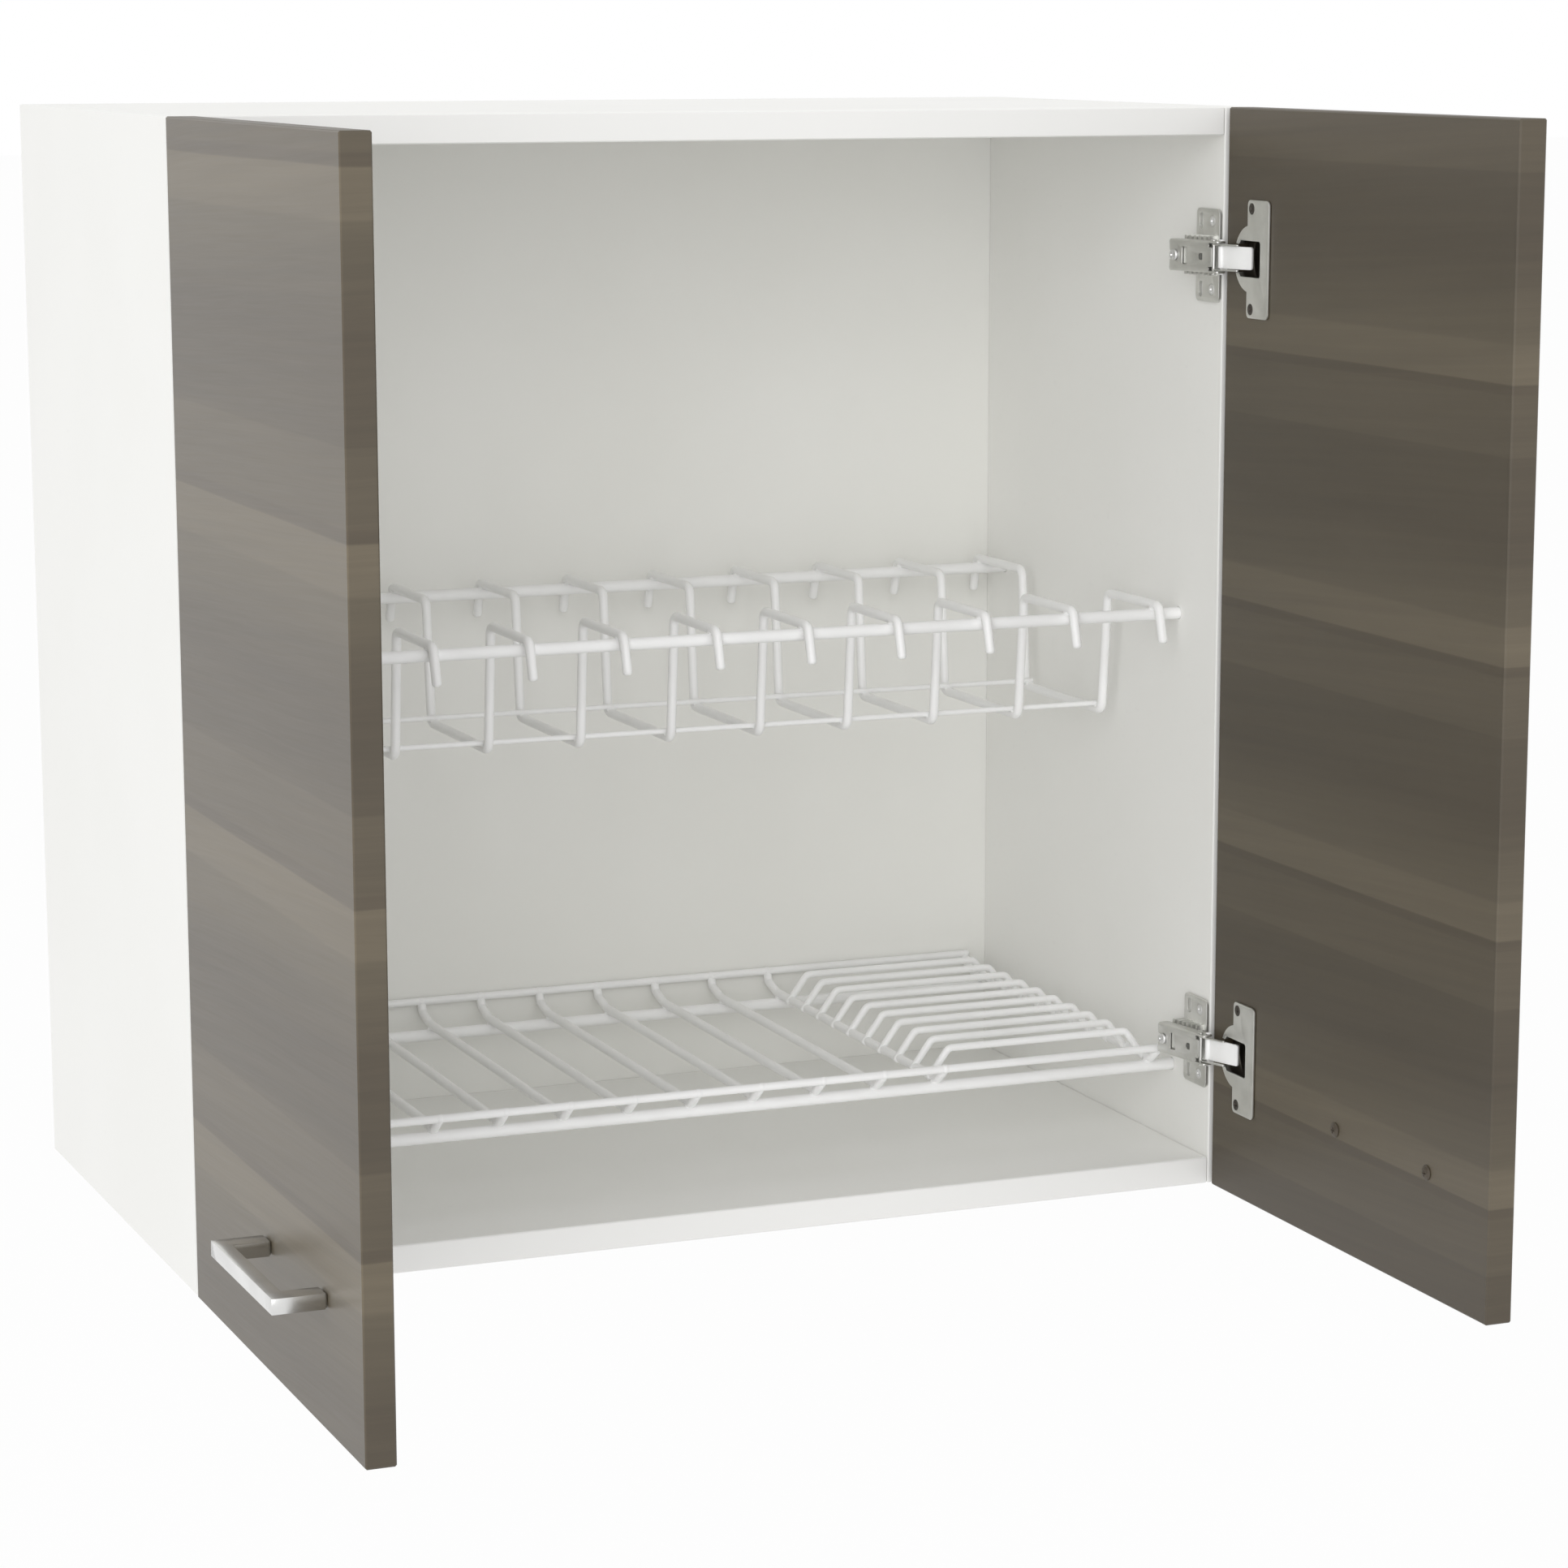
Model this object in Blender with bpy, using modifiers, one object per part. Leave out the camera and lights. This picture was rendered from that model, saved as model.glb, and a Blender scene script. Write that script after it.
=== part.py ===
"""Kitchen wall cabinet with two doors on concealed hinges and two wire racks inside.

Metres, +Z up. The cabinet is drawn from its front bottom edge (X to the right, Y into the
cabinet, Z up) and then moved as a whole, so that the world's origin lies on the wall, in the
middle of the top panel's rear edge. Both doors stand open at a right angle.
"""
import math

import bmesh
import bpy
from mathutils import Matrix, Vector

# Carcass
CABINET_WIDTH = 0.600
CABINET_HEIGHT = 0.600
CABINET_DEPTH = 0.325
BOARD_THICKNESS = 0.015
BOARD_EDGE_ROUND = 0.0006
GAP = 0.0003
BACK_THICKNESS = 0.003
BACK_FROM_WALL = 0.022
GROOVE_DEPTH = 0.006
OVERRUN = 0.002

# Hanging rail, hanger plates and their screws behind the back panel
RAIL_HEIGHT = 0.060
RAIL_THICKNESS = 0.014
RAIL_TOP_SPACE = 0.005
HANGER_SHEET = 0.002
HANGER_WIDTH = 0.046
HANGER_HEIGHT = 0.044
HANGER_LIP_DEPTH = 0.010
HANGER_FROM_SIDE = 0.055
KEYHOLE_RADIUS = 0.0055
KEYSLOT_HALF_WIDTH = 0.0028
KEYSLOT_LENGTH = 0.013
KEYHOLE_FROM_FOOT = 0.012
HANGER_SCREW_FROM_TOP = 0.008

# Doors
DOOR_SHY_OF_MIDDLE = 0.002
DOOR_THICKNESS = 0.015
DOOR_EDGE_ROUND = 0.0008
DOOR_FACE_OPEN = 0.0005
DOOR_EDGE_OPEN = 0.0035
AXIS_FROM_DOOR_EDGE = 0.00675
AXIS_FROM_DOOR_FACE = 0.00725

# Handles
HANDLE_HOLE_SPACING = 0.096
HANDLE_LEG_WIDTH = 0.012
HANDLE_BAR_THICKNESS = 0.0076
HANDLE_BAR_HEIGHT = 0.0078
HANDLE_STAND_OFF = 0.027
HANDLE_EDGE_ROUND = 0.0005
HANDLE_CENTRE_HEIGHT = 0.0647
HANDLE_FROM_FREE_EDGE = 0.1095
HANDLE_HOLE_DEPTH = 0.010
HANDLE_SCREW_RADIUS = 0.0020
HANDLE_SCREW_REACH = 0.008
HANDLE_SCREW_HEAD_RADIUS = 0.0040
HANDLE_SCREW_HEAD_HEIGHT = 0.0018

# Wire racks
RAIL_WIRE_RADIUS = 0.0034
RACK_WIRE_RADIUS = 0.0026
THIN_ROD_RADIUS = 0.0015
TRAY_ROD_RADIUS = 0.0023
RACK_RAIL_FROM_FRONT = 0.0465
RACK_RAIL_FROM_WALL = 0.0470
RACK_RAIL_IN_SIDE = 0.0085
RACK_HOLE_DEPTH = 0.0100
WELD_SINK = 0.0006
WIRE_BEND_RADIUS = 0.0050
WIRE_BEND_STEPS = 2

UPPER_RAIL_HEIGHT = 0.3190
HOOK_COUNT = 11
HOOK_FROM_LEFT_SIDE = 0.0245
HOOK_FROM_RIGHT_SIDE = 0.0155
HOOK_LIP_DROP = 0.0204
HOOK_LIP_LEAN = 0.0060
HOOK_LIP_CLEARANCE = 0.0002
HOOK_LEG_TOP = 0.1045
HOOK_LEG_FOOT = 0.1110
HOOK_FOOT_DROP = 0.0635
HOOK_ROD_BEFORE_BEND_END = 0.0005

LOWER_RAIL_HEIGHT = 0.0592
TRAY_WIRE_COUNT = 12
TRAY_FROM_LEFT_SIDE = 0.0173
TRAY_FROM_RIGHT_SIDE = 0.0150
TRAY_POST_FOOT = 0.0435
TRAY_POST_TOP = 0.0345
TRAY_POST_RISE = 0.0070
TRAY_BEND_RADIUS = 0.0038
TRAY_ROD_PAST_WIRE_END = 0.0011
TRAY_BACK_FOOT_PAST_RAIL = 0.0050
TRAY_BACK_BEND_PAST_RAIL = 0.0190
TRAY_BACK_TOP_PAST_RAIL = 0.0215
TRAY_BACK_BEND_RISE = 0.0040
TRAY_BACK_POST_RISE = 0.0090
LOOP_COUNT = 10
LOOP_BEHIND_FRONT_RAIL = 0.0047
LOOP_BEFORE_REAR_RAIL = 0.0181
LOOP_ROW_WIDTH = 0.1329
LOOP_RISE = 0.0170
LOOP_SLOPE_RUN = 0.0125
LOOP_FOOT_SINK = 0.0020
LOOP_WIRE_RADIUS = 0.0021

# Concealed hinges, from the joint axis and the door's edges
HINGE_FROM_END = 0.080
PLATE_SHEET = 0.0016
PLATE_FRONT = 0.0010
PLATE_WING_DEPTH = 0.0270
PLATE_WING_HALF_HEIGHT = 0.0252
PLATE_CORNER = 0.0030
PLATE_BODY_FRONT = 0.0030
PLATE_BODY_REAR = 0.0280
PLATE_BODY_RISE = 0.0020
PLATE_RIDGE_FRONT = 0.0050
PLATE_RIDGE_REAR = 0.0285
PLATE_SCREW_FROM_FRONT = 0.0095
PLATE_SCREW_FROM_MIDDLE = 0.0185
PLATE_SLOT_FROM_FRONT = 0.0220
PLATE_SLOT_HALF_WIDTH = 0.0021
PLATE_SLOT_LENGTH = 0.0042
TOOTH_COUNT = 6
TOOTH_PITCH = 0.0040
TOOTH_GROOVE_WIDTH = 0.0016
TOOTH_GROOVE_DEPTH = 0.0009

ARM_TILT = math.radians(11.0)
ARM_SHEET = 0.0011
ARM_HALF_WIDTH = 0.0086
ARM_WEB_FROM_PIN = 0.0041
ARM_LEG_PAST_PIN = 0.0019
ARM_NOSE = 0.0026
ARM_TAIL = 0.0395
ARM_WEB_FRONT = 0.0062
ARM_SCREW_FROM_PIN = 0.0345
ARM_SCREW_HOLE_RADIUS = 0.0019
ARM_SLOT_FROM_PIN = 0.0260
ARM_SLOT_HALF_WIDTH = 0.0026
ARM_SLOT_HALF_LENGTH = 0.0047
ARM_HOLE_FROM_PIN = 0.0120
ARM_HOLE_RADIUS = 0.0015

OUTER_PIN_FROM_SIDE = 0.0054
OUTER_PIN_FORWARD = 0.0086
OUTER_LINK_LENGTH = 0.0225
OUTER_LINK_HALF_WIDTH = 0.0061
LINK_SHEET = 0.0015
LINK_BARREL_RADIUS = 0.0019
LINK_PIN_RADIUS = 0.0009
LINK_PIN_HEAD_RADIUS = 0.0016
LINK_PIN_HEAD_HEIGHT = 0.0006
PIN_CLEARANCE = 0.0004
LINK_REST_ANGLE = math.radians(70.0)
INNER_PIN_FROM_OUTER_X = 0.0035
INNER_PIN_FROM_OUTER_Y = 0.0024
INNER_LINK_LENGTH = 0.0190
INNER_LINK_CHEEK = 0.0008
INNER_LINK_HALF_DEPTH = 0.0009

CUP_FROM_DOOR_EDGE = 0.0295
CUP_OUTER_RADIUS = 0.0172
CUP_WALL = 0.0007
CUP_DEPTH = 0.0115
CUP_BORE_RADIUS = 0.0176
CUP_BORE_DEPTH = 0.0122
CUP_SHEET = 0.0012
CUP_FLANGE_RADIUS = 0.0180
WING_FAR_FROM_DOOR_EDGE = 0.0497
WING_WIDTH = 0.0238
WING_HALF_HEIGHT = 0.0315
WING_CORNER = 0.0028
CUP_OPENING_FAR = 0.0410
CUP_OPENING_HALF_HEIGHT = 0.0102
CUP_OPENING_CORNER = 0.0030
CUP_LIP_DEPTH = 0.0058
CUP_SCREW_FROM_DOOR_EDGE = 0.0303
CUP_SCREW_FROM_MIDDLE = 0.0268

# Countersunk screws shared by the plates and cups
SCREW_HEAD_RADIUS = 0.0030
SCREW_HEAD_HEIGHT = 0.0012
SCREW_SHANK_RADIUS = 0.0016
SCREW_LENGTH = 0.0105
SCREW_SOCKET_RADIUS = 0.0013
SCREW_SOCKET_DEPTH = 0.0009
SCREW_POINT_LENGTH = 0.0020
SCREW_HOLE_CLEARANCE = 0.0004
ARM_SCREW_REACH = 0.0080

# A bevel of nearly half a slot's width rounds its ends
NEARLY_WHOLE_SHARE = 0.9

# A screw's point against its shank, and a handle screw's neck against its shank
SCREW_POINT_SHARE = 0.35
HANDLE_SCREW_NECK_SHARE = 1.3

# How much of an edge's length must run along an axis, and of a wire's radius is merged
STRAIGHT_SHARE = 0.99
MERGE_SHARE = 0.01
SHARP_ANGLE = math.radians(35)

# Facets
SMALL_SIDES = 10
SCREW_SIDES = 8
CUP_SIDES = 24

HALF_WIDTH = CABINET_WIDTH / 2
INNER_SIDE = HALF_WIDTH - BOARD_THICKNESS
INNER_WIDTH = CABINET_WIDTH - 2 * BOARD_THICKNESS
BACK_INNER_FACE = CABINET_DEPTH - BACK_FROM_WALL
RACK_RAIL_REAR = CABINET_DEPTH - RACK_RAIL_FROM_WALL
DOOR_WIDTH = HALF_WIDTH - DOOR_SHY_OF_MIDDLE
DOOR_HEIGHT = CABINET_HEIGHT
DOOR_INNER_FACE = INNER_SIDE + DOOR_FACE_OPEN
HANDLE_FROM_HINGE_EDGE = DOOR_WIDTH - HANDLE_FROM_FREE_EDGE
AXIS_X = DOOR_INNER_FACE + AXIS_FROM_DOOR_FACE
AXIS_Y = -DOOR_EDGE_OPEN - AXIS_FROM_DOOR_EDGE
OUTER_PIN_X = INNER_SIDE - OUTER_PIN_FROM_SIDE
OUTER_PIN_Y = -OUTER_PIN_FORWARD
HINGE_HEIGHTS = {"lower": HINGE_FROM_END, "upper": CABINET_HEIGHT - HINGE_FROM_END}
SIDES = {"left": -1, "right": 1}


def clear_scene():
    for old in list(bpy.data.objects):
        bpy.data.objects.remove(old, do_unlink=True)


def new_collection(name):
    group = bpy.data.collections.new(name)
    bpy.context.scene.collection.children.link(group)
    return group


def new_material(name, colour, roughness, metallic):
    material = bpy.data.materials.new(name)
    material.use_nodes = True
    shader = material.node_tree.nodes["Principled BSDF"]
    shader.inputs["Base Color"].default_value = (*colour, 1.0)
    shader.inputs["Roughness"].default_value = roughness
    shader.inputs["Metallic"].default_value = metallic
    return material


clear_scene()
PARTS = new_collection("kitchen_wall_cabinet")
CUTTERS = new_collection("cutters")


def new_empty(name, location, parent=None):
    empty = bpy.data.objects.new(name, None)
    PARTS.objects.link(empty)
    empty.parent = parent
    empty.location = location
    return empty


# The wall is at Y = 0 and the origin is halfway up the top panel's rear edge
CABINET = new_empty("cabinet_frame", (0, -CABINET_DEPTH, BOARD_THICKNESS / 2 - CABINET_HEIGHT))


def add_box(bm, size, centre):
    """A box in the mesh, as (x, y, z) size about its centre; returns its vertices."""
    place = Matrix.Translation(centre) @ Matrix.Diagonal((*size, 1.0))
    return bmesh.ops.create_cube(bm, size=1.0, matrix=place)["verts"]


def add_cylinder(bm, radius, length, centre, axis, sides=SMALL_SIDES, radius_far=None):
    """A cylinder or cone about an axis "X", "Y" or "Z"; radius_far is at its plus end."""
    turn = {"X": Matrix.Rotation(math.pi / 2, 4, "Y"),
            "Y": Matrix.Rotation(-math.pi / 2, 4, "X"),
            "Z": Matrix.Identity(4)}[axis]
    far = radius if radius_far is None else radius_far
    place = Matrix.Translation(centre) @ turn
    return bmesh.ops.create_cone(bm, cap_ends=True, segments=sides, radius1=radius,
                                 radius2=far, depth=length, matrix=place)["verts"]


def along(axis, way, distance):
    """A step of the given distance along an axis, its sign given by the way."""
    step = Vector((0, 0, 0))
    step["XYZ".index(axis)] = way * distance
    return step


def add_prism(bm, outline, foot_z, top_z):
    """A straight block over an outline of (x, y) points."""
    face = bm.faces.new([bm.verts.new((x, y, foot_z)) for x, y in outline])
    grown = bmesh.ops.extrude_face_region(bm, geom=[face])["geom"]
    top = [piece for piece in grown if isinstance(piece, bmesh.types.BMVert)]
    bmesh.ops.translate(bm, verts=top, vec=(0, 0, top_z - foot_z))
    bmesh.ops.recalc_face_normals(bm, faces=bm.faces)


def add_lathe(bm, rings, axis, way=1, sides=SCREW_SIDES):
    """A turned piece: a profile of (radius, place along the axis) spun about it."""
    across = "XYZ"[("XYZ".index(axis) + 1) % 3]
    line = [bm.verts.new(along(axis, way, place) + along(across, 1, radius))
            for radius, place in rings]
    profile = [bm.edges.new(pair) for pair in zip(line, line[1:])]
    bmesh.ops.spin(bm, geom=line + profile, cent=(0, 0, 0), axis=along(axis, 1, 1),
                   angle=2 * math.pi, steps=sides, use_merge=True)
    bmesh.ops.holes_fill(bm, edges=[edge for edge in bm.edges if edge.is_boundary])
    bmesh.ops.recalc_face_normals(bm, faces=bm.faces)


def round_edges_along(bm, verts, axis, radius, segments=2):
    """Rounds the edges of a box that run along one axis (0, 1 or 2)."""
    edges = {edge for vert in verts for edge in vert.link_edges}
    chosen = []
    for edge in edges:
        run = edge.verts[1].co - edge.verts[0].co
        if abs(run[axis]) > run.length * STRAIGHT_SHARE:
            chosen.append(edge)
    bmesh.ops.bevel(bm, geom=chosen, offset=radius, segments=segments, profile=0.5,
                    affect="EDGES")


def finish_mesh(name, bm, material, location=(0, 0, 0), parent=CABINET, turn=0.0,
                collection=PARTS):
    """Turns a bmesh into an object with its material, place, turn about Z and parent."""
    mesh = bpy.data.meshes.new(name)
    bm.to_mesh(mesh)
    bm.free()
    if material is not None:
        mesh.materials.append(material)
    mesh.shade_smooth()
    mesh.set_sharp_from_angle(angle=SHARP_ANGLE)
    part = bpy.data.objects.new(name, mesh)
    collection.objects.link(part)
    part.parent = parent
    part.location = location
    part.rotation_euler = (0, 0, turn)
    return part


def finish_cutter(name, bm, location=(0, 0, 0), parent=CABINET, turn=0.0):
    cutter = finish_mesh(name, bm, None, location, parent, turn, CUTTERS)
    cutter.hide_render = True
    cutter.display_type = "WIRE"
    return cutter


def use_boolean(part, tool, operation="DIFFERENCE"):
    step = part.modifiers.new(tool.name, "BOOLEAN")
    step.operation = operation
    step.solver = "EXACT"
    step.use_self = True
    step.object = tool


def round_all_edges(part, width):
    step = part.modifiers.new("edge_round", "BEVEL")
    step.width = width
    step.segments = 1
    step.limit_method = "ANGLE"


MELAMINE = new_material("white_melamine", (0.90, 0.90, 0.89), 0.45, 0.0)
BACK_BOARD = new_material("white_back_board", (0.86, 0.86, 0.84), 0.55, 0.0)
DOOR_FOIL = new_material("grey_brown_wood_foil", (0.20, 0.18, 0.16), 0.50, 0.0)
WIRE_COAT = new_material("white_coated_wire", (0.88, 0.88, 0.87), 0.35, 0.0)
NICKEL = new_material("nickel_plated_steel", (0.66, 0.66, 0.64), 0.30, 1.0)
BRIGHT_NICKEL = new_material("bright_nickel_link", (0.80, 0.80, 0.80), 0.18, 1.0)
CHROME = new_material("satin_chrome", (0.74, 0.74, 0.73), 0.22, 1.0)
SCREW_STEEL = new_material("dark_zinc_screw", (0.35, 0.35, 0.36), 0.35, 1.0)
GALVANISED = new_material("galvanised_steel", (0.60, 0.61, 0.62), 0.40, 1.0)


def hinge_name(side_name, level):
    return f"hinge_{side_name}_{level}"


def plate_screw_places(level_height):
    """Y and Z of a mounting plate's two screws."""
    return [(PLATE_SCREW_FROM_FRONT, level_height + way * PLATE_SCREW_FROM_MIDDLE)
            for way in (1, -1)]


def make_side_panel(side_name, side):
    """A side: groove for the back, blind holes for the rack rails and hinge screws."""
    centre = ((HALF_WIDTH - BOARD_THICKNESS / 2) * side, CABINET_DEPTH / 2, CABINET_HEIGHT / 2)
    bm = bmesh.new()
    add_box(bm, (BOARD_THICKNESS, CABINET_DEPTH, CABINET_HEIGHT), (0, 0, 0))
    panel = finish_mesh(f"side_panel_{side_name}", bm, MELAMINE, centre)
    round_all_edges(panel, BOARD_EDGE_ROUND)

    bm = bmesh.new()
    groove_depth = GROOVE_DEPTH + OVERRUN
    groove_x = (INNER_SIDE + (GROOVE_DEPTH - OVERRUN) / 2) * side
    groove_y = BACK_INNER_FACE + BACK_THICKNESS / 2
    groove_height = CABINET_HEIGHT - 2 * BOARD_THICKNESS + 2 * GROOVE_DEPTH
    add_box(bm, (groove_depth, BACK_THICKNESS + 2 * GAP, groove_height),
            (groove_x, groove_y, CABINET_HEIGHT / 2))
    hole_length = RACK_HOLE_DEPTH + OVERRUN
    hole_x = (INNER_SIDE + (RACK_HOLE_DEPTH - OVERRUN) / 2) * side
    for rail_y in (RACK_RAIL_FROM_FRONT, RACK_RAIL_REAR):
        for rail_z in (UPPER_RAIL_HEIGHT, LOWER_RAIL_HEIGHT):
            add_cylinder(bm, RAIL_WIRE_RADIUS + GAP, hole_length, (hole_x, rail_y, rail_z), "X")
    pilot_length = SCREW_LENGTH + OVERRUN
    pilot_x = (INNER_SIDE + (SCREW_LENGTH - OVERRUN) / 2) * side
    for height in HINGE_HEIGHTS.values():
        for screw_y, screw_z in plate_screw_places(height):
            add_cylinder(bm, SCREW_SHANK_RADIUS + GAP, pilot_length,
                         (pilot_x, screw_y, screw_z), "X")
    use_boolean(panel, finish_cutter(f"cut_side_panel_{side_name}", bm))


def make_cross_panel(name, height, groove_way):
    """The top or bottom panel, between the sides, grooved for the back."""
    centre = (0, CABINET_DEPTH / 2, height)
    bm = bmesh.new()
    add_box(bm, (INNER_WIDTH - 2 * GAP, CABINET_DEPTH, BOARD_THICKNESS), (0, 0, 0))
    panel = finish_mesh(name, bm, MELAMINE, centre)
    round_all_edges(panel, BOARD_EDGE_ROUND)
    bm = bmesh.new()
    groove_z = height + groove_way * (BOARD_THICKNESS - GROOVE_DEPTH + OVERRUN) / 2
    add_box(bm, (CABINET_WIDTH, BACK_THICKNESS + 2 * GAP, GROOVE_DEPTH + OVERRUN),
            (0, BACK_INNER_FACE + BACK_THICKNESS / 2, groove_z))
    use_boolean(panel, finish_cutter(f"cut_{name}", bm))


def make_back_panel():
    reach = 2 * (GROOVE_DEPTH - GAP)
    bm = bmesh.new()
    add_box(bm, (INNER_WIDTH + reach, BACK_THICKNESS,
                 CABINET_HEIGHT - 2 * BOARD_THICKNESS + reach), (0, 0, 0))
    finish_mesh("back_panel", bm, BACK_BOARD,
                (0, BACK_INNER_FACE + BACK_THICKNESS / 2, CABINET_HEIGHT / 2))


RAIL_FRONT = BACK_INNER_FACE + BACK_THICKNESS + GAP
RAIL_REAR = RAIL_FRONT + RAIL_THICKNESS
RAIL_TOP = CABINET_HEIGHT - BOARD_THICKNESS - RAIL_TOP_SPACE
HANGER_X = INNER_SIDE - HANGER_FROM_SIDE
HANGER_SCREW_Z = RAIL_TOP - HANGER_SCREW_FROM_TOP


def make_hanging_rail():
    """The board behind the back panel that carries the two hanger plates."""
    bm = bmesh.new()
    add_box(bm, (INNER_WIDTH - 2 * GAP, RAIL_THICKNESS, RAIL_HEIGHT), (0, 0, 0))
    rail = finish_mesh("hanging_rail", bm, MELAMINE,
                       (0, (RAIL_FRONT + RAIL_REAR) / 2, RAIL_TOP - RAIL_HEIGHT / 2))
    bm = bmesh.new()
    pilot_y = RAIL_REAR - (SCREW_LENGTH - OVERRUN) / 2
    keyhole_z = RAIL_TOP - HANGER_HEIGHT + KEYHOLE_FROM_FOOT
    pocket_height = KEYSLOT_LENGTH + 2 * KEYHOLE_RADIUS
    for side in SIDES.values():
        add_cylinder(bm, SCREW_SHANK_RADIUS + GAP, SCREW_LENGTH + OVERRUN,
                     (HANGER_X * side, pilot_y, HANGER_SCREW_Z), "Y")
        pocket_depth = RAIL_THICKNESS / 2 + OVERRUN
        add_box(bm, (2 * KEYHOLE_RADIUS, pocket_depth, pocket_height),
                (HANGER_X * side, RAIL_REAR - (RAIL_THICKNESS / 2 - OVERRUN) / 2,
                 keyhole_z + KEYSLOT_LENGTH / 2))
    use_boolean(rail, finish_cutter("cut_hanging_rail", bm))


def make_hanger(side_name, side):
    """A folded plate that hooks over the rail, with a keyhole for the wall screw."""
    face_y = RAIL_REAR + GAP + HANGER_SHEET / 2
    front_y = -HANGER_SHEET / 2
    rear_face_y = HANGER_SHEET / 2
    lip_y = rear_face_y - HANGER_LIP_DEPTH
    lip_foot = RAIL_TOP + GAP
    lip_top = lip_foot + HANGER_SHEET
    foot = RAIL_TOP - HANGER_HEIGHT
    bm = bmesh.new()
    add_prism(bm, ((front_y, foot), (rear_face_y, foot), (rear_face_y, lip_top),
                   (lip_y, lip_top), (lip_y, lip_foot), (front_y, lip_foot)),
              -HANGER_WIDTH / 2, HANGER_WIDTH / 2)
    for vert in bm.verts:
        vert.co = (vert.co.z, vert.co.x, vert.co.y)
    plate = finish_mesh(f"hanger_plate_{side_name}", bm, GALVANISED,
                        (HANGER_X * side, face_y, 0))
    bm = bmesh.new()
    keyhole_z = RAIL_TOP - HANGER_HEIGHT + KEYHOLE_FROM_FOOT
    cut_depth = HANGER_SHEET + 2 * OVERRUN
    add_cylinder(bm, KEYHOLE_RADIUS, cut_depth, (HANGER_X * side, face_y, keyhole_z), "Y")
    cutter = finish_cutter(f"keyhole_{side_name}", bm)
    use_boolean(plate, cutter)
    bm = bmesh.new()
    add_box(bm, (2 * KEYSLOT_HALF_WIDTH, cut_depth, KEYSLOT_LENGTH),
            (HANGER_X * side, face_y, keyhole_z + KEYSLOT_LENGTH / 2))
    use_boolean(plate, finish_cutter(f"keyslot_{side_name}", bm))
    bm = bmesh.new()
    add_countersink(bm, (HANGER_X * side, face_y + HANGER_SHEET / 2, HANGER_SCREW_Z), "Y", 1)
    use_boolean(plate, finish_cutter(f"hanger_sink_{side_name}", bm))
    make_screw(f"hanger_screw_{side_name}", CABINET,
               (HANGER_X * side, face_y + HANGER_SHEET / 2, HANGER_SCREW_Z), "Y", 1)


def add_countersink(bm, face_point, axis, way):
    """The cut for a screw whose head lies flush with a face that looks along axis * way."""
    wide = SCREW_HEAD_RADIUS + SCREW_HOLE_CLEARANCE
    narrow = SCREW_SHANK_RADIUS + SCREW_HOLE_CLEARANCE
    slope = (wide - narrow) / SCREW_HEAD_HEIGHT
    length = SCREW_HEAD_HEIGHT + OVERRUN
    mouth = wide + slope * OVERRUN
    centre = Vector(face_point) + along(axis, way, (OVERRUN - SCREW_HEAD_HEIGHT) / 2)
    ends = (narrow, mouth) if way > 0 else (mouth, narrow)
    add_cylinder(bm, ends[0], length, centre, axis, SMALL_SIDES, ends[1])
    shaft = SCREW_LENGTH
    add_cylinder(bm, narrow - GAP / 2, shaft,
                 Vector(face_point) - along(axis, way, SCREW_HEAD_HEIGHT / 2 + shaft / 2), axis)


def make_screw(name, parent, face_point, axis, way):
    """A countersunk screw with a driver socket, its head flush with the face."""
    rings = ((SCREW_SOCKET_RADIUS, -SCREW_SOCKET_DEPTH), (SCREW_SOCKET_RADIUS, 0),
             (SCREW_HEAD_RADIUS, 0), (SCREW_SHANK_RADIUS, -SCREW_HEAD_HEIGHT),
             (SCREW_SHANK_RADIUS, SCREW_POINT_LENGTH - SCREW_LENGTH),
             (SCREW_SHANK_RADIUS * SCREW_POINT_SHARE, -SCREW_LENGTH))
    bm = bmesh.new()
    add_lathe(bm, rings, axis, way)
    finish_mesh(name, bm, SCREW_STEEL, face_point, parent)


def rounded_path(corners, radius, steps=WIRE_BEND_STEPS):
    """The corners of a bent wire, each inner one replaced by points on an arc."""
    corners = [Vector(corner) for corner in corners]
    path = [corners[0]]
    for before, corner, after in zip(corners, corners[1:], corners[2:]):
        into = (before - corner).normalized()
        out = (after - corner).normalized()
        half_angle = into.angle(out) / 2
        reach = radius / math.tan(half_angle)
        middle = corner + (into + out).normalized() * (radius / math.sin(half_angle))
        start = corner + into * reach - middle
        sweep = math.pi - 2 * half_angle
        normal = into.cross(out).normalized()
        for index in range(steps):
            share = index / (steps - 1)
            path.append(middle + Matrix.Rotation(-sweep * share, 3, normal) @ start)
    path.append(corners[-1])
    return path


def make_wire(name, points, radius, collection=CUTTERS):
    """A round wire through the points, as a closed mesh."""
    data = bpy.data.curves.new(name, "CURVE")
    data.dimensions = "3D"
    data.bevel_depth = radius
    data.bevel_resolution = 2
    data.use_fill_caps = True
    spline = data.splines.new("POLY")
    spline.points.add(len(points) - 1)
    for spline_point, place in zip(spline.points, points):
        spline_point.co = (*place, 1.0)
    guide = bpy.data.objects.new(f"curve_{name}", data)
    CUTTERS.objects.link(guide)
    guide.parent = CABINET
    bpy.context.view_layer.update()
    shape = guide.evaluated_get(bpy.context.evaluated_depsgraph_get())
    mesh = bpy.data.meshes.new_from_object(shape)
    bm = bmesh.new()
    bm.from_mesh(mesh)
    bmesh.ops.remove_doubles(bm, verts=bm.verts, dist=radius * MERGE_SHARE)
    bm.to_mesh(mesh)
    bm.free()
    mesh.shade_smooth()
    wire = bpy.data.objects.new(name, mesh)
    collection.objects.link(wire)
    wire.matrix_world = guide.matrix_world
    bpy.data.objects.remove(guide, do_unlink=True)
    return wire


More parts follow.
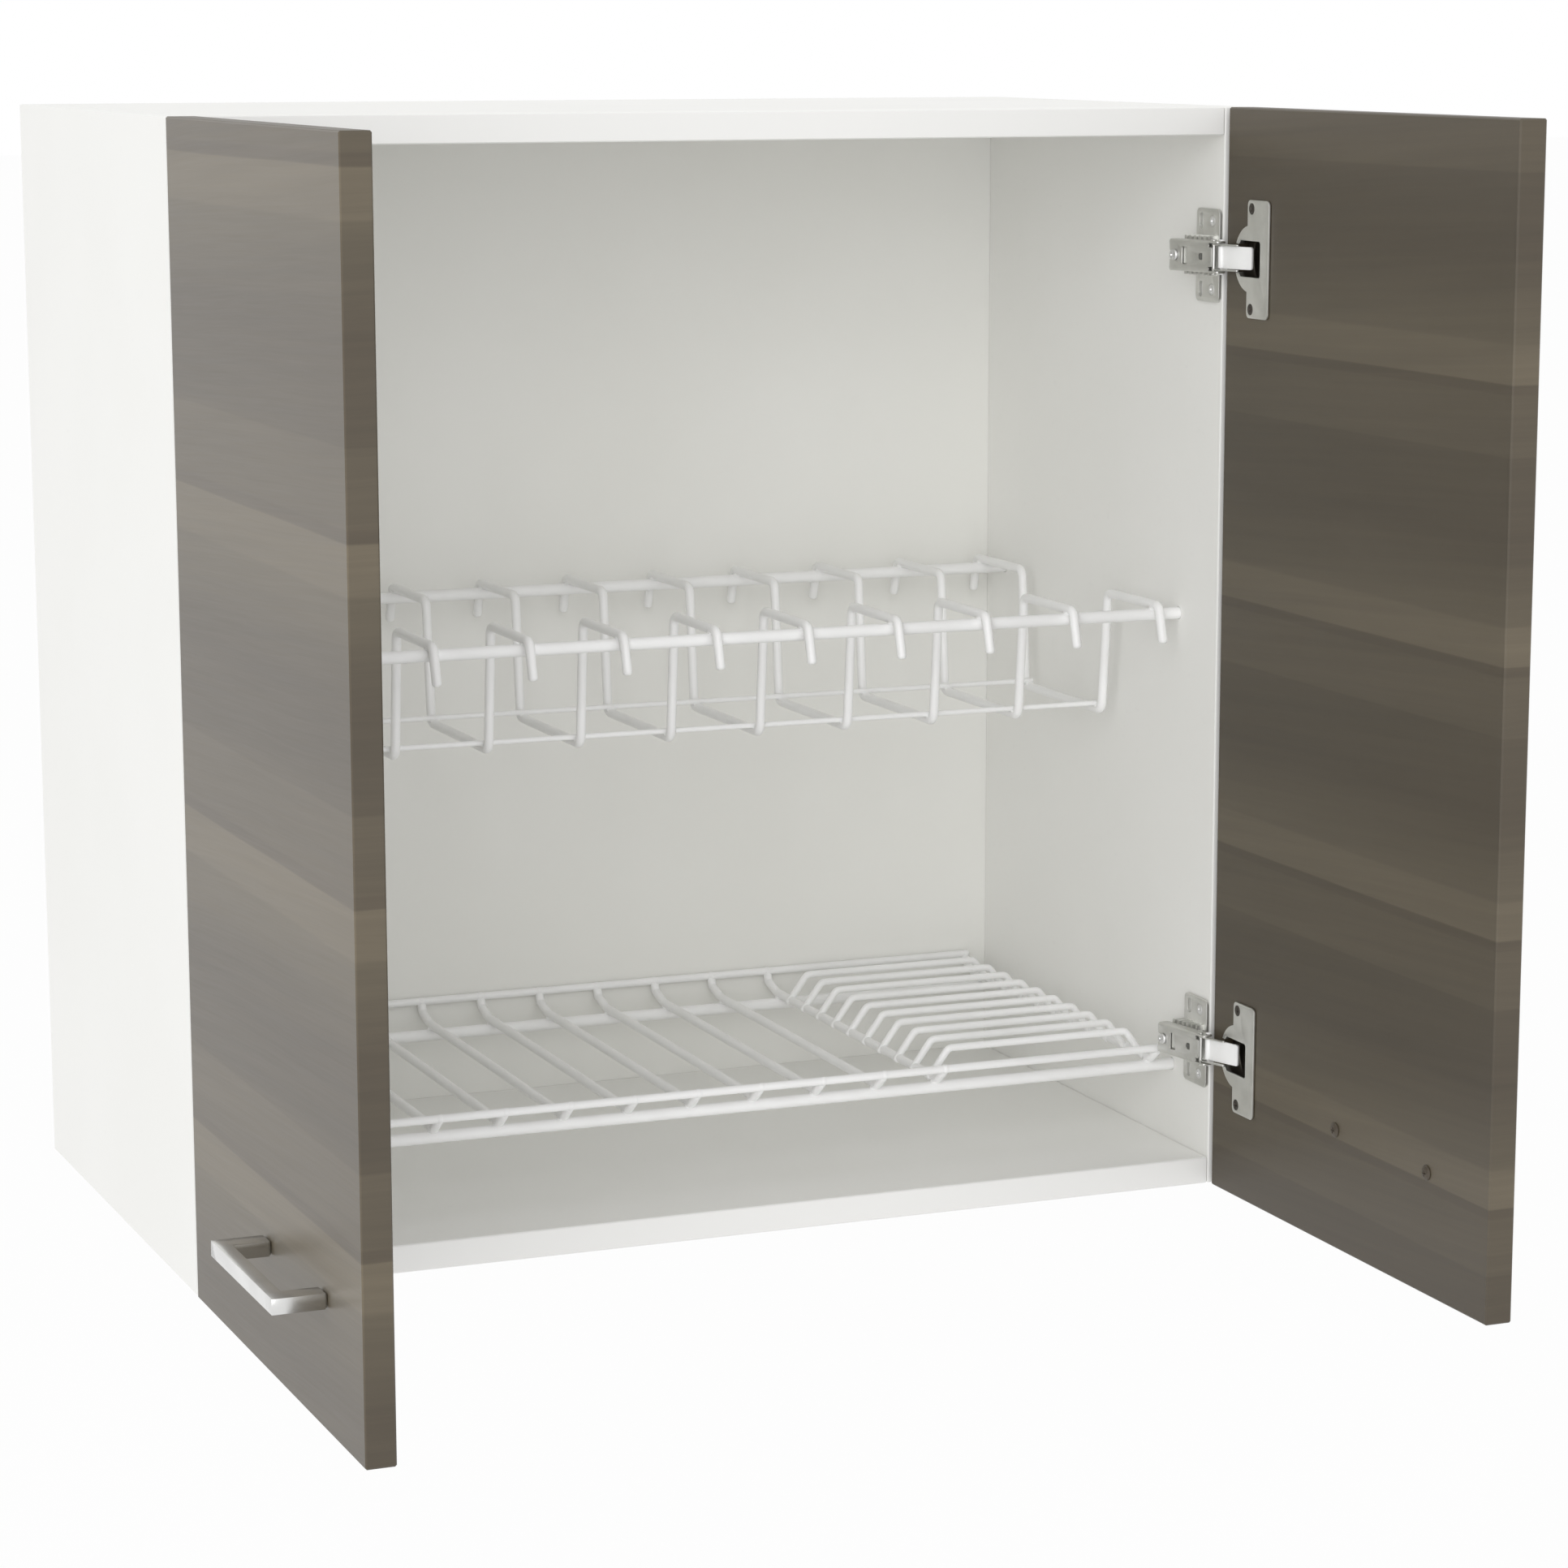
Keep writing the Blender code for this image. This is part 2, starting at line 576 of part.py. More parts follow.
def weld_rack(name, base_points, base_radius, wires):
    """Joins a rack's wires into its first rail, as welding does."""
    rack = make_wire(name, base_points, base_radius, PARTS)
    rack.data.materials.append(WIRE_COAT)
    tools = bpy.data.collections.new(f"wires_of_{name}")
    CUTTERS.children.link(tools)
    for index, (points, radius) in enumerate(wires):
        wire = make_wire(f"{name}_wire_{index}", points, radius, tools)
        wire.hide_render = True
        wire.display_type = "WIRE"
    weld = rack.modifiers.new("weld", "BOOLEAN")
    weld.operation = "UNION"
    weld.solver = "EXACT"
    weld.operand_type = "COLLECTION"
    weld.collection = tools
    return rack


RACK_DEPTH_MIDDLE = (RACK_RAIL_FROM_FRONT + RACK_RAIL_REAR) / 2


def rear_y(front_y):
    """The matching place at the back of a rack that is the same front and back."""
    return 2 * RACK_DEPTH_MIDDLE - front_y


def rail_points(rail_y, rail_z):
    reach = INNER_SIDE + RACK_RAIL_IN_SIDE
    return [Vector((-reach, rail_y, rail_z)), Vector((reach, rail_y, rail_z))]


def hook_x(index):
    first = HOOK_FROM_LEFT_SIDE - INNER_SIDE
    last = INNER_SIDE - HOOK_FROM_RIGHT_SIDE
    return first + (last - first) * index / (HOOK_COUNT - 1)


def make_upper_rack():
    """The trough-shaped rack: eleven bent wires on two rails, and two thin rods."""
    top_z = UPPER_RAIL_HEIGHT + RAIL_WIRE_RADIUS + RACK_WIRE_RADIUS - WELD_SINK
    lip_top_y = RACK_RAIL_FROM_FRONT - RAIL_WIRE_RADIUS - RACK_WIRE_RADIUS - HOOK_LIP_CLEARANCE
    foot_z = UPPER_RAIL_HEIGHT - HOOK_FOOT_DROP
    front = [(lip_top_y - HOOK_LIP_LEAN, top_z - HOOK_LIP_DROP), (lip_top_y, top_z),
             (HOOK_LEG_TOP, top_z), (HOOK_LEG_FOOT, foot_z)]
    profile = front + [(rear_y(y), z) for y, z in reversed(front)]
    wires = [(rail_points(RACK_RAIL_REAR, UPPER_RAIL_HEIGHT), RAIL_WIRE_RADIUS)]
    for index in range(HOOK_COUNT):
        corners = [(hook_x(index), y, z) for y, z in profile]
        wires.append((rounded_path(corners, WIRE_BEND_RADIUS), RACK_WIRE_RADIUS))
    rod_z = foot_z + RACK_WIRE_RADIUS + THIN_ROD_RADIUS - WELD_SINK
    rod_y = HOOK_LEG_FOOT + WIRE_BEND_RADIUS - HOOK_ROD_BEFORE_BEND_END
    for y in (rod_y, rear_y(rod_y)):
        ends = [Vector((hook_x(0) - RACK_WIRE_RADIUS, y, rod_z)),
                Vector((hook_x(HOOK_COUNT - 1) + RACK_WIRE_RADIUS, y, rod_z))]
        wires.append((ends, THIN_ROD_RADIUS))
    weld_rack("upper_rack", rail_points(RACK_RAIL_FROM_FRONT, UPPER_RAIL_HEIGHT),
              RAIL_WIRE_RADIUS, wires)


def tray_wire_places():
    """The even row of wires up to the loops' left feet, and the wire under their right feet."""
    first = TRAY_FROM_LEFT_SIDE - INNER_SIDE
    last = INNER_SIDE - TRAY_FROM_RIGHT_SIDE
    pitch = (last - LOOP_ROW_WIDTH - first) / (TRAY_WIRE_COUNT - 1)
    return [first + index * pitch for index in range(TRAY_WIRE_COUNT)] + [last]


def make_lower_rack():
    """The flat tray rack: long wires on two rails, edge rods, and a row of low loops."""
    wire_z = LOWER_RAIL_HEIGHT + RAIL_WIRE_RADIUS + RACK_WIRE_RADIUS - WELD_SINK
    profile = [(TRAY_POST_TOP, wire_z + TRAY_POST_RISE), (TRAY_POST_FOOT, wire_z),
               (RACK_RAIL_REAR + TRAY_BACK_FOOT_PAST_RAIL, wire_z),
               (RACK_RAIL_REAR + TRAY_BACK_BEND_PAST_RAIL, wire_z + TRAY_BACK_BEND_RISE),
               (RACK_RAIL_REAR + TRAY_BACK_TOP_PAST_RAIL, wire_z + TRAY_BACK_POST_RISE)]
    wires = [(rail_points(RACK_RAIL_REAR, LOWER_RAIL_HEIGHT), RAIL_WIRE_RADIUS)]
    places = tray_wire_places()
    for x in places:
        corners = [(x, y, z) for y, z in profile]
        wires.append((rounded_path(corners, TRAY_BEND_RADIUS), RACK_WIRE_RADIUS))
    for end, before in ((profile[0], profile[1]), (profile[-1], profile[-2])):
        run = (Vector(end) - Vector(before)).normalized()
        rod_y, rod_z = Vector(end) + run * TRAY_ROD_PAST_WIRE_END
        ends = [Vector((places[0] - RACK_WIRE_RADIUS, rod_y, rod_z)),
                Vector((places[-1] + RACK_WIRE_RADIUS, rod_y, rod_z))]
        wires.append((ends, TRAY_ROD_RADIUS))
    loop_left = places[-2]
    loop_right = places[-1]
    foot_z = wire_z - LOOP_FOOT_SINK
    overlap = RACK_WIRE_RADIUS
    first_y = RACK_RAIL_FROM_FRONT + LOOP_BEHIND_FRONT_RAIL
    last_y = RACK_RAIL_REAR - LOOP_BEFORE_REAR_RAIL
    for index in range(LOOP_COUNT):
        y = first_y + (last_y - first_y) * index / (LOOP_COUNT - 1)
        corners = [(loop_left - overlap, y, foot_z),
                   (loop_left - overlap + LOOP_SLOPE_RUN, y, foot_z + LOOP_RISE),
                   (loop_right - LOOP_SLOPE_RUN, y, foot_z + LOOP_RISE),
                   (loop_right, y, foot_z)]
        wires.append((rounded_path(corners, TRAY_BEND_RADIUS), LOOP_WIRE_RADIUS))
    weld_rack("lower_rack", rail_points(RACK_RAIL_FROM_FRONT, LOWER_RAIL_HEIGHT),
              RAIL_WIRE_RADIUS, wires)


def door_point(side, from_edge, depth, height):
    """A point of an open door, from its joint axis: along the door, into it, and up."""
    return Vector(((depth - AXIS_FROM_DOOR_FACE) * side, AXIS_FROM_DOOR_EDGE - from_edge, height))


def make_door(side_name, side, axis):
    """A door leaf with its cup bores and screw holes."""
    bm = bmesh.new()
    add_box(bm, (DOOR_THICKNESS, DOOR_WIDTH, DOOR_HEIGHT), (0, 0, 0))
    place = door_point(side, DOOR_WIDTH / 2, DOOR_THICKNESS / 2, DOOR_HEIGHT / 2)
    door = finish_mesh(f"door_{side_name}", bm, DOOR_FOIL, place, axis)
    round_all_edges(door, DOOR_EDGE_ROUND)
    bm = bmesh.new()
    for height in HINGE_HEIGHTS.values():
        bore = CUP_BORE_DEPTH + OVERRUN
        add_cylinder(bm, CUP_BORE_RADIUS, bore,
                     door_point(side, CUP_FROM_DOOR_EDGE, (CUP_BORE_DEPTH - OVERRUN) / 2,
                                height), "X", CUP_SIDES)
        for way in (1, -1):
            pilot = SCREW_LENGTH + OVERRUN
            add_cylinder(bm, SCREW_SHANK_RADIUS + GAP, pilot,
                         door_point(side, CUP_SCREW_FROM_DOOR_EDGE,
                                    (SCREW_LENGTH - OVERRUN) / 2,
                                    height + way * CUP_SCREW_FROM_MIDDLE), "X")
    for way in (1, -1):
        add_cylinder(bm, HANDLE_SCREW_RADIUS + GAP, DOOR_THICKNESS + 2 * OVERRUN,
                     door_point(side, HANDLE_FROM_HINGE_EDGE + way * HANDLE_HOLE_SPACING / 2,
                                DOOR_THICKNESS / 2, HANDLE_CENTRE_HEIGHT), "X")
    use_boolean(door, finish_cutter(f"cut_door_{side_name}", bm, (0, 0, 0), axis))


def make_handle(side_name, side, axis):
    """A square bow handle, held by two screws from inside the door."""
    length = HANDLE_HOLE_SPACING + HANDLE_LEG_WIDTH
    foot = DOOR_THICKNESS + GAP
    stand = HANDLE_STAND_OFF - GAP
    bm = bmesh.new()
    add_box(bm, (stand, length, HANDLE_BAR_HEIGHT), (0, 0, 0))
    place = door_point(side, HANDLE_FROM_HINGE_EDGE, foot + stand / 2, HANDLE_CENTRE_HEIGHT)
    handle = finish_mesh(f"handle_{side_name}", bm, CHROME, place, axis)
    bm = bmesh.new()
    gap_depth = stand - HANDLE_BAR_THICKNESS
    add_box(bm, (gap_depth + OVERRUN, HANDLE_HOLE_SPACING - HANDLE_LEG_WIDTH,
                 HANDLE_BAR_HEIGHT + 2 * OVERRUN),
            door_point(side, HANDLE_FROM_HINGE_EDGE, foot + (gap_depth - OVERRUN) / 2,
                       HANDLE_CENTRE_HEIGHT))
    use_boolean(handle, finish_cutter(f"grip_gap_{side_name}", bm, (0, 0, 0), axis))
    round_all_edges(handle, HANDLE_EDGE_ROUND)
    bm = bmesh.new()
    for way in (1, -1):
        add_cylinder(bm, HANDLE_SCREW_RADIUS + GAP, HANDLE_HOLE_DEPTH + OVERRUN,
                     door_point(side, HANDLE_FROM_HINGE_EDGE + way * HANDLE_HOLE_SPACING / 2,
                                foot + (HANDLE_HOLE_DEPTH - OVERRUN) / 2,
                                HANDLE_CENTRE_HEIGHT), "X")
    use_boolean(handle, finish_cutter(f"threads_{side_name}", bm, (0, 0, 0), axis))

    rings = ((SCREW_SOCKET_RADIUS, -HANDLE_SCREW_HEAD_HEIGHT + SCREW_SOCKET_DEPTH),
             (SCREW_SOCKET_RADIUS, -HANDLE_SCREW_HEAD_HEIGHT),
             (HANDLE_SCREW_RADIUS * HANDLE_SCREW_NECK_SHARE, -HANDLE_SCREW_HEAD_HEIGHT),
             (HANDLE_SCREW_HEAD_RADIUS, -GAP), (HANDLE_SCREW_RADIUS, -GAP),
             (HANDLE_SCREW_RADIUS, DOOR_THICKNESS + HANDLE_SCREW_REACH))
    for way, end_name in ((1, "outer"), (-1, "inner")):
        spot = door_point(side, HANDLE_FROM_HINGE_EDGE + way * HANDLE_HOLE_SPACING / 2, 0,
                          HANDLE_CENTRE_HEIGHT)
        bm = bmesh.new()
        add_lathe(bm, rings, "X", side)
        finish_mesh(f"handle_screw_{side_name}_{end_name}", bm, SCREW_STEEL, spot, axis)


def arm_point(side, across, along_arm, height):
    """A point from the outer link's pin: across the arm towards the side, and back along it."""
    step = Matrix.Rotation(ARM_TILT, 3, "Z") @ Vector((across, along_arm, 0))
    return Vector(((OUTER_PIN_X + step.x) * side, OUTER_PIN_Y + step.y, height))


def under_arm_outline(side, across, front_y, rear_y_end, foot_x):
    """An outline from the plate up to a line that runs across the arm at one distance."""
    outline = [(foot_x * side, front_y), (foot_x * side, rear_y_end)]
    for y in (rear_y_end, front_y):
        near = arm_point(1, across, 0, 0)
        x = near.x - (y - near.y) * math.tan(ARM_TILT)
        outline.append((x * side, y))
    return outline


def make_mounting_plate(name, side, height):
    """The winged plate screwed to the side panel, with the ridge that the arm rides on."""
    face = INNER_SIDE - GAP
    wing_x = face - PLATE_SHEET / 2
    bm = bmesh.new()
    wing = add_box(bm, (PLATE_SHEET, PLATE_WING_DEPTH, 2 * PLATE_WING_HALF_HEIGHT), (0, 0, 0))
    round_edges_along(bm, wing, 0, PLATE_CORNER)
    plate = finish_mesh(f"{name}_mounting_plate", bm, NICKEL,
                        (wing_x * side, PLATE_FRONT + PLATE_WING_DEPTH / 2, height))
    body_across = ARM_LEG_PAST_PIN + GAP
    ridge_across = GAP - ARM_WEB_FROM_PIN
    ridge_half = ARM_HALF_WIDTH - ARM_SHEET - GAP
    bm = bmesh.new()
    add_prism(bm, under_arm_outline(side, body_across, PLATE_BODY_FRONT, PLATE_BODY_REAR, wing_x),
              height - ARM_HALF_WIDTH, height + ARM_HALF_WIDTH)
    use_boolean(plate, finish_cutter(f"body_{name}", bm), "UNION")
    bm = bmesh.new()
    for way in (1, -1):
        slot_z = height + way * PLATE_SCREW_FROM_MIDDLE
        slot = add_box(bm, (PLATE_SHEET + 2 * OVERRUN, 2 * PLATE_SLOT_HALF_WIDTH,
                            PLATE_SLOT_LENGTH + 2 * PLATE_SLOT_HALF_WIDTH),
                       (wing_x * side, PLATE_SLOT_FROM_FRONT, slot_z))
        round_edges_along(bm, slot, 0, PLATE_SLOT_HALF_WIDTH * NEARLY_WHOLE_SHARE)
        for index in range(TOOTH_COUNT):
            tooth_y = PLATE_BODY_FRONT + (index + 1) * TOOTH_PITCH
            reach = face - PLATE_SHEET - arm_point(1, body_across, PLATE_BODY_REAR, 0).x
            add_box(bm, (2 * reach, TOOTH_GROOVE_WIDTH, 2 * TOOTH_GROOVE_DEPTH),
                    ((face - PLATE_SHEET - GAP - reach) * side, tooth_y,
                     height + way * ARM_HALF_WIDTH))
    use_boolean(plate, finish_cutter(f"slots_{name}", bm))
    bm = bmesh.new()
    for screw_y, screw_z in plate_screw_places(height):
        add_countersink(bm, ((face - PLATE_SHEET) * side, screw_y, screw_z), "X", -side)
    use_boolean(plate, finish_cutter(f"plate_sinks_{name}", bm))
    bm = bmesh.new()
    add_prism(bm, under_arm_outline(side, ridge_across, PLATE_RIDGE_FRONT, PLATE_RIDGE_REAR,
                                    face - PLATE_SHEET - PLATE_BODY_RISE),
              height - ridge_half, height + ridge_half)
    use_boolean(plate, finish_cutter(f"ridge_{name}", bm), "UNION")
    for (screw_y, screw_z), end_name in zip(plate_screw_places(height), ("top", "bottom")):
        make_screw(f"{name}_plate_screw_{end_name}", CABINET,
                   ((face - PLATE_SHEET) * side, screw_y, screw_z), "X", -side)
    return plate


def inner_pin_in_arm():
    """The inner link's pin, from the outer one, in the arm's own directions."""
    offset = Vector((-INNER_PIN_FROM_OUTER_X, INNER_PIN_FROM_OUTER_Y, 0))
    return Matrix.Rotation(-ARM_TILT, 3, "Z") @ offset


def make_arm(name, side, height, plate):
    """The channel-shaped arm, tilted a little, that carries both links on its nose."""
    turn = ARM_TILT * side
    place = arm_point(side, 0, 0, height)
    web_outer = -ARM_WEB_FROM_PIN - ARM_SHEET
    depth = ARM_LEG_PAST_PIN - web_outer
    middle_x = (ARM_LEG_PAST_PIN + web_outer) / 2
    middle_y = (ARM_TAIL - ARM_NOSE) / 2
    leg_gap = 2 * (ARM_HALF_WIDTH - ARM_SHEET)
    bm = bmesh.new()
    add_box(bm, (depth, ARM_TAIL + ARM_NOSE, 2 * ARM_HALF_WIDTH), (middle_x * side, middle_y, 0))
    arm = finish_mesh(f"{name}_arm", bm, NICKEL, place, CABINET, turn)
    bm = bmesh.new()
    hollow = depth - ARM_SHEET + OVERRUN
    add_box(bm, (hollow, ARM_TAIL + ARM_NOSE + 2 * OVERRUN, leg_gap),
            ((web_outer + ARM_SHEET + hollow / 2) * side, middle_y, 0))
    use_boolean(arm, finish_cutter(f"channel_{name}", bm, place, CABINET, turn))
    bm = bmesh.new()
    web_cut = 2 * (ARM_SHEET + OVERRUN)
    web_x = (web_outer + ARM_SHEET / 2) * side
    nose_cut = ARM_NOSE + ARM_WEB_FRONT + OVERRUN
    add_box(bm, (web_cut, nose_cut, leg_gap), (web_x, ARM_WEB_FRONT - nose_cut / 2, 0))
    add_cylinder(bm, ARM_SCREW_HOLE_RADIUS, web_cut, (web_x, ARM_SCREW_FROM_PIN, 0), "X")
    slot = add_box(bm, (web_cut, 2 * ARM_SLOT_HALF_WIDTH, 2 * ARM_SLOT_HALF_LENGTH),
                   (web_x, ARM_SLOT_FROM_PIN, 0))
    round_edges_along(bm, slot, 0, ARM_SLOT_HALF_WIDTH * NEARLY_WHOLE_SHARE)
    add_cylinder(bm, ARM_HOLE_RADIUS, web_cut, (web_x, ARM_HOLE_FROM_PIN, 0), "X")
    pin_cut = 2 * (ARM_HALF_WIDTH + OVERRUN)
    inner = inner_pin_in_arm()
    for across, back in ((0, 0), (inner.x, inner.y)):
        add_cylinder(bm, LINK_PIN_RADIUS + PIN_CLEARANCE, pin_cut, (across * side, back, 0), "Z")
    use_boolean(arm, finish_cutter(f"arm_holes_{name}", bm, place, CABINET, turn))

    web_face = ARM_WEB_FROM_PIN + ARM_SHEET + GAP
    spot = arm_point(side, -web_face, ARM_SCREW_FROM_PIN, height)
    thread = ARM_SCREW_REACH + 2 * OVERRUN
    bm = bmesh.new()
    add_cylinder(bm, SCREW_SHANK_RADIUS + GAP, thread, ((thread / 2) * side, 0, 0), "X")
    use_boolean(plate, finish_cutter(f"arm_thread_{name}", bm, spot, CABINET, turn))
    rings = ((SCREW_SOCKET_RADIUS, SCREW_SOCKET_DEPTH - SCREW_HEAD_HEIGHT),
             (SCREW_SOCKET_RADIUS, -SCREW_HEAD_HEIGHT), (SCREW_HEAD_RADIUS, -SCREW_HEAD_HEIGHT),
             (SCREW_HEAD_RADIUS, 0), (SCREW_SHANK_RADIUS, 0),
             (SCREW_SHANK_RADIUS, ARM_SCREW_REACH))
    bm = bmesh.new()
    add_lathe(bm, rings, "X", side)
    finish_mesh(f"{name}_arm_screw", bm, SCREW_STEEL, spot, CABINET, turn)


def mirrored_rings(half):
    """The rings of a turned piece that is the same at both ends, from its top half."""
    return half + tuple((radius, -place) for radius, place in reversed(half))


def make_links(name, side, height):
    """The outer link, a bright plate, and the inner link, two cheeks beside it."""
    turn = -LINK_REST_ANGLE if side > 0 else LINK_REST_ANGLE - math.pi
    head_foot = ARM_HALF_WIDTH + GAP
    head_top = head_foot + LINK_PIN_HEAD_HEIGHT
    barrel = OUTER_LINK_HALF_WIDTH - GAP
    place = arm_point(side, 0, 0, height)
    bm = bmesh.new()
    add_box(bm, (OUTER_LINK_LENGTH, LINK_SHEET, 2 * OUTER_LINK_HALF_WIDTH),
            (OUTER_LINK_LENGTH / 2, 0, 0))
    outer = finish_mesh(f"{name}_outer_link", bm, BRIGHT_NICKEL, place, CABINET, turn)
    half = ((LINK_PIN_HEAD_RADIUS, head_top), (LINK_PIN_HEAD_RADIUS, head_foot),
            (LINK_PIN_RADIUS, head_foot))
    barrel_half = half + ((LINK_PIN_RADIUS, barrel), (LINK_BARREL_RADIUS, barrel))
    bm = bmesh.new()
    add_lathe(bm, mirrored_rings(barrel_half), "Z")
    use_boolean(outer, finish_cutter(f"outer_pin_{name}", bm, place, CABINET, turn), "UNION")

    inner_place = place + Vector((-INNER_PIN_FROM_OUTER_X * side, INNER_PIN_FROM_OUTER_Y, 0))
    cheek_middle = OUTER_LINK_HALF_WIDTH + GAP + INNER_LINK_CHEEK / 2
    bm = bmesh.new()
    add_lathe(bm, mirrored_rings(half), "Z")
    inner = finish_mesh(f"{name}_inner_link", bm, NICKEL, inner_place, CABINET, turn)
    bm = bmesh.new()
    for way in (1, -1):
        add_box(bm, (INNER_LINK_LENGTH, 2 * INNER_LINK_HALF_DEPTH, INNER_LINK_CHEEK),
                (INNER_LINK_LENGTH / 2 - INNER_LINK_HALF_DEPTH - GAP, 0, way * cheek_middle))
    use_boolean(inner, finish_cutter(f"cheeks_{name}", bm, inner_place, CABINET, turn), "UNION")


def make_cup(name, side, height, axis):
    """The pressed cup in the door with its flange and two screwed wings."""
    sheet_depth = -GAP - CUP_SHEET / 2
    bm = bmesh.new()
    wing = add_box(bm, (CUP_SHEET, WING_WIDTH, 2 * WING_HALF_HEIGHT), (0, 0, 0))
    round_edges_along(bm, wing, 0, WING_CORNER)
    place = door_point(side, WING_FAR_FROM_DOOR_EDGE - WING_WIDTH / 2, sheet_depth, height)
    cup = finish_mesh(f"{name}_cup", bm, NICKEL, place, axis)
    bm = bmesh.new()
    add_cylinder(bm, CUP_FLANGE_RADIUS, CUP_SHEET,
                 door_point(side, CUP_FROM_DOOR_EDGE, sheet_depth, height), "X", CUP_SIDES)
    use_boolean(cup, finish_cutter(f"flange_{name}", bm, (0, 0, 0), axis), "UNION")
    bm = bmesh.new()
    bowl = CUP_DEPTH + GAP + CUP_SHEET / 2
    add_cylinder(bm, CUP_OUTER_RADIUS, bowl,
                 door_point(side, CUP_FROM_DOOR_EDGE, CUP_DEPTH - bowl / 2, height), "X",
                 CUP_SIDES)
    use_boolean(cup, finish_cutter(f"bowl_{name}", bm, (0, 0, 0), axis), "UNION")
    bm = bmesh.new()
    hollow_floor = CUP_DEPTH - CUP_WALL
    add_cylinder(bm, CUP_OUTER_RADIUS - CUP_WALL, hollow_floor + GAP,
                 door_point(side, CUP_FROM_DOOR_EDGE, (hollow_floor - GAP) / 2, height),
                 "X", CUP_SIDES)
    use_boolean(cup, finish_cutter(f"hollow_{name}", bm, (0, 0, 0), axis))
    bm = bmesh.new()
    near = CUP_FROM_DOOR_EDGE
    opening = add_box(bm, (CUP_SHEET + 2 * OVERRUN, 2 * (CUP_OPENING_FAR - near),
                           2 * CUP_OPENING_HALF_HEIGHT),
                      door_point(side, near, sheet_depth, height))
    round_edges_along(bm, opening, 0, CUP_OPENING_CORNER)
    use_boolean(cup, finish_cutter(f"opening_{name}", bm, (0, 0, 0), axis))
    bm = bmesh.new()
    lip_from = CUP_FROM_DOOR_EDGE - CUP_FLANGE_RADIUS - OVERRUN
    lip_to = CUP_FROM_DOOR_EDGE - CUP_OUTER_RADIUS / 2
    lip_top = -GAP - CUP_SHEET - OVERRUN
    add_box(bm, (CUP_LIP_DEPTH - lip_top, lip_to - lip_from, 2 * CUP_OPENING_HALF_HEIGHT),
            door_point(side, (lip_from + lip_to) / 2, (CUP_LIP_DEPTH + lip_top) / 2, height))
    use_boolean(cup, finish_cutter(f"lip_cut_{name}", bm, (0, 0, 0), axis))
    face_depth = -GAP - CUP_SHEET
    bm = bmesh.new()
    screw_points = []
    for way in (1, -1):
        spot = door_point(side, CUP_SCREW_FROM_DOOR_EDGE, face_depth,
                          height + way * CUP_SCREW_FROM_MIDDLE)
        screw_points.append(spot)
        add_countersink(bm, spot, "X", -side)
    use_boolean(cup, finish_cutter(f"cup_sinks_{name}", bm, (0, 0, 0), axis))
    for spot, end_name in zip(screw_points, ("top", "bottom")):
        make_screw(f"{name}_cup_screw_{end_name}", axis, spot, "X", -side)


def make_hinge(side_name, side, level, axis):
    name = hinge_name(side_name, level)
    height = HINGE_HEIGHTS[level]
    plate = make_mounting_plate(name, side, height)
    make_arm(name, side, height, plate)
    make_links(name, side, height)
    make_cup(name, side, height, axis)


def make_cabinet():
    make_cross_panel("top_panel", CABINET_HEIGHT - BOARD_THICKNESS / 2, -1)
    make_cross_panel("bottom_panel", BOARD_THICKNESS / 2, 1)
    make_back_panel()
    make_hanging_rail()
    make_upper_rack()
    make_lower_rack()
    for side_name, side in SIDES.items():
        make_side_panel(side_name, side)
        make_hanger(side_name, side)
        axis = new_empty(f"door_axis_{side_name}", (AXIS_X * side, AXIS_Y, 0), CABINET)
        make_door(side_name, side, axis)
        make_handle(side_name, side, axis)
        for level in HINGE_HEIGHTS:
            make_hinge(side_name, side, level, axis)


make_cabinet()
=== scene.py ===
"""A kitchen wall cabinet with both doors open and two wire racks, in a plain pale studio."""
import math

import bmesh
import bpy
from mathutils import Matrix, Vector


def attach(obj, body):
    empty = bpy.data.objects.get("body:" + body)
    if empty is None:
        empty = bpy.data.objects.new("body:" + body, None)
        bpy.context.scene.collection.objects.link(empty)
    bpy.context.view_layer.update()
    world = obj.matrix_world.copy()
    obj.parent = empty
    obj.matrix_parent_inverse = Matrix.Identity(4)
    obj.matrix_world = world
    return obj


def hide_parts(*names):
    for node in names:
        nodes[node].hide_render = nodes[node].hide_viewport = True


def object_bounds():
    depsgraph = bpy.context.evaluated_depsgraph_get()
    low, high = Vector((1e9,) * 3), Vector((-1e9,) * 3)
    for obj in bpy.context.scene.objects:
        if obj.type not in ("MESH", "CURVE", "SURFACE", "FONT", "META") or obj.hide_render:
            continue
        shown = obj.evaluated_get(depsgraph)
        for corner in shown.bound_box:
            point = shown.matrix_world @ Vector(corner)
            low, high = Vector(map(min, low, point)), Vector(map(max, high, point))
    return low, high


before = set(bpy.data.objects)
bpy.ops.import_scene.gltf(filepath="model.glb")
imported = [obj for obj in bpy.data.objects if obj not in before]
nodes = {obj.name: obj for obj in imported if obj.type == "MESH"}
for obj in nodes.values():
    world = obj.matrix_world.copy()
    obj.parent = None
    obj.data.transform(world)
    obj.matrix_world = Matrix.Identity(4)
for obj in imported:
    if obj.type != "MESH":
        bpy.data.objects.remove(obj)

cad_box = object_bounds()


# Studio: the cabinet hangs a little above a wide pale floor, in the even light of a white studio
# with one large soft lamp on the left of the front, which fills the open carcass. The camera looks
# from the left of the front too, and from slightly above.

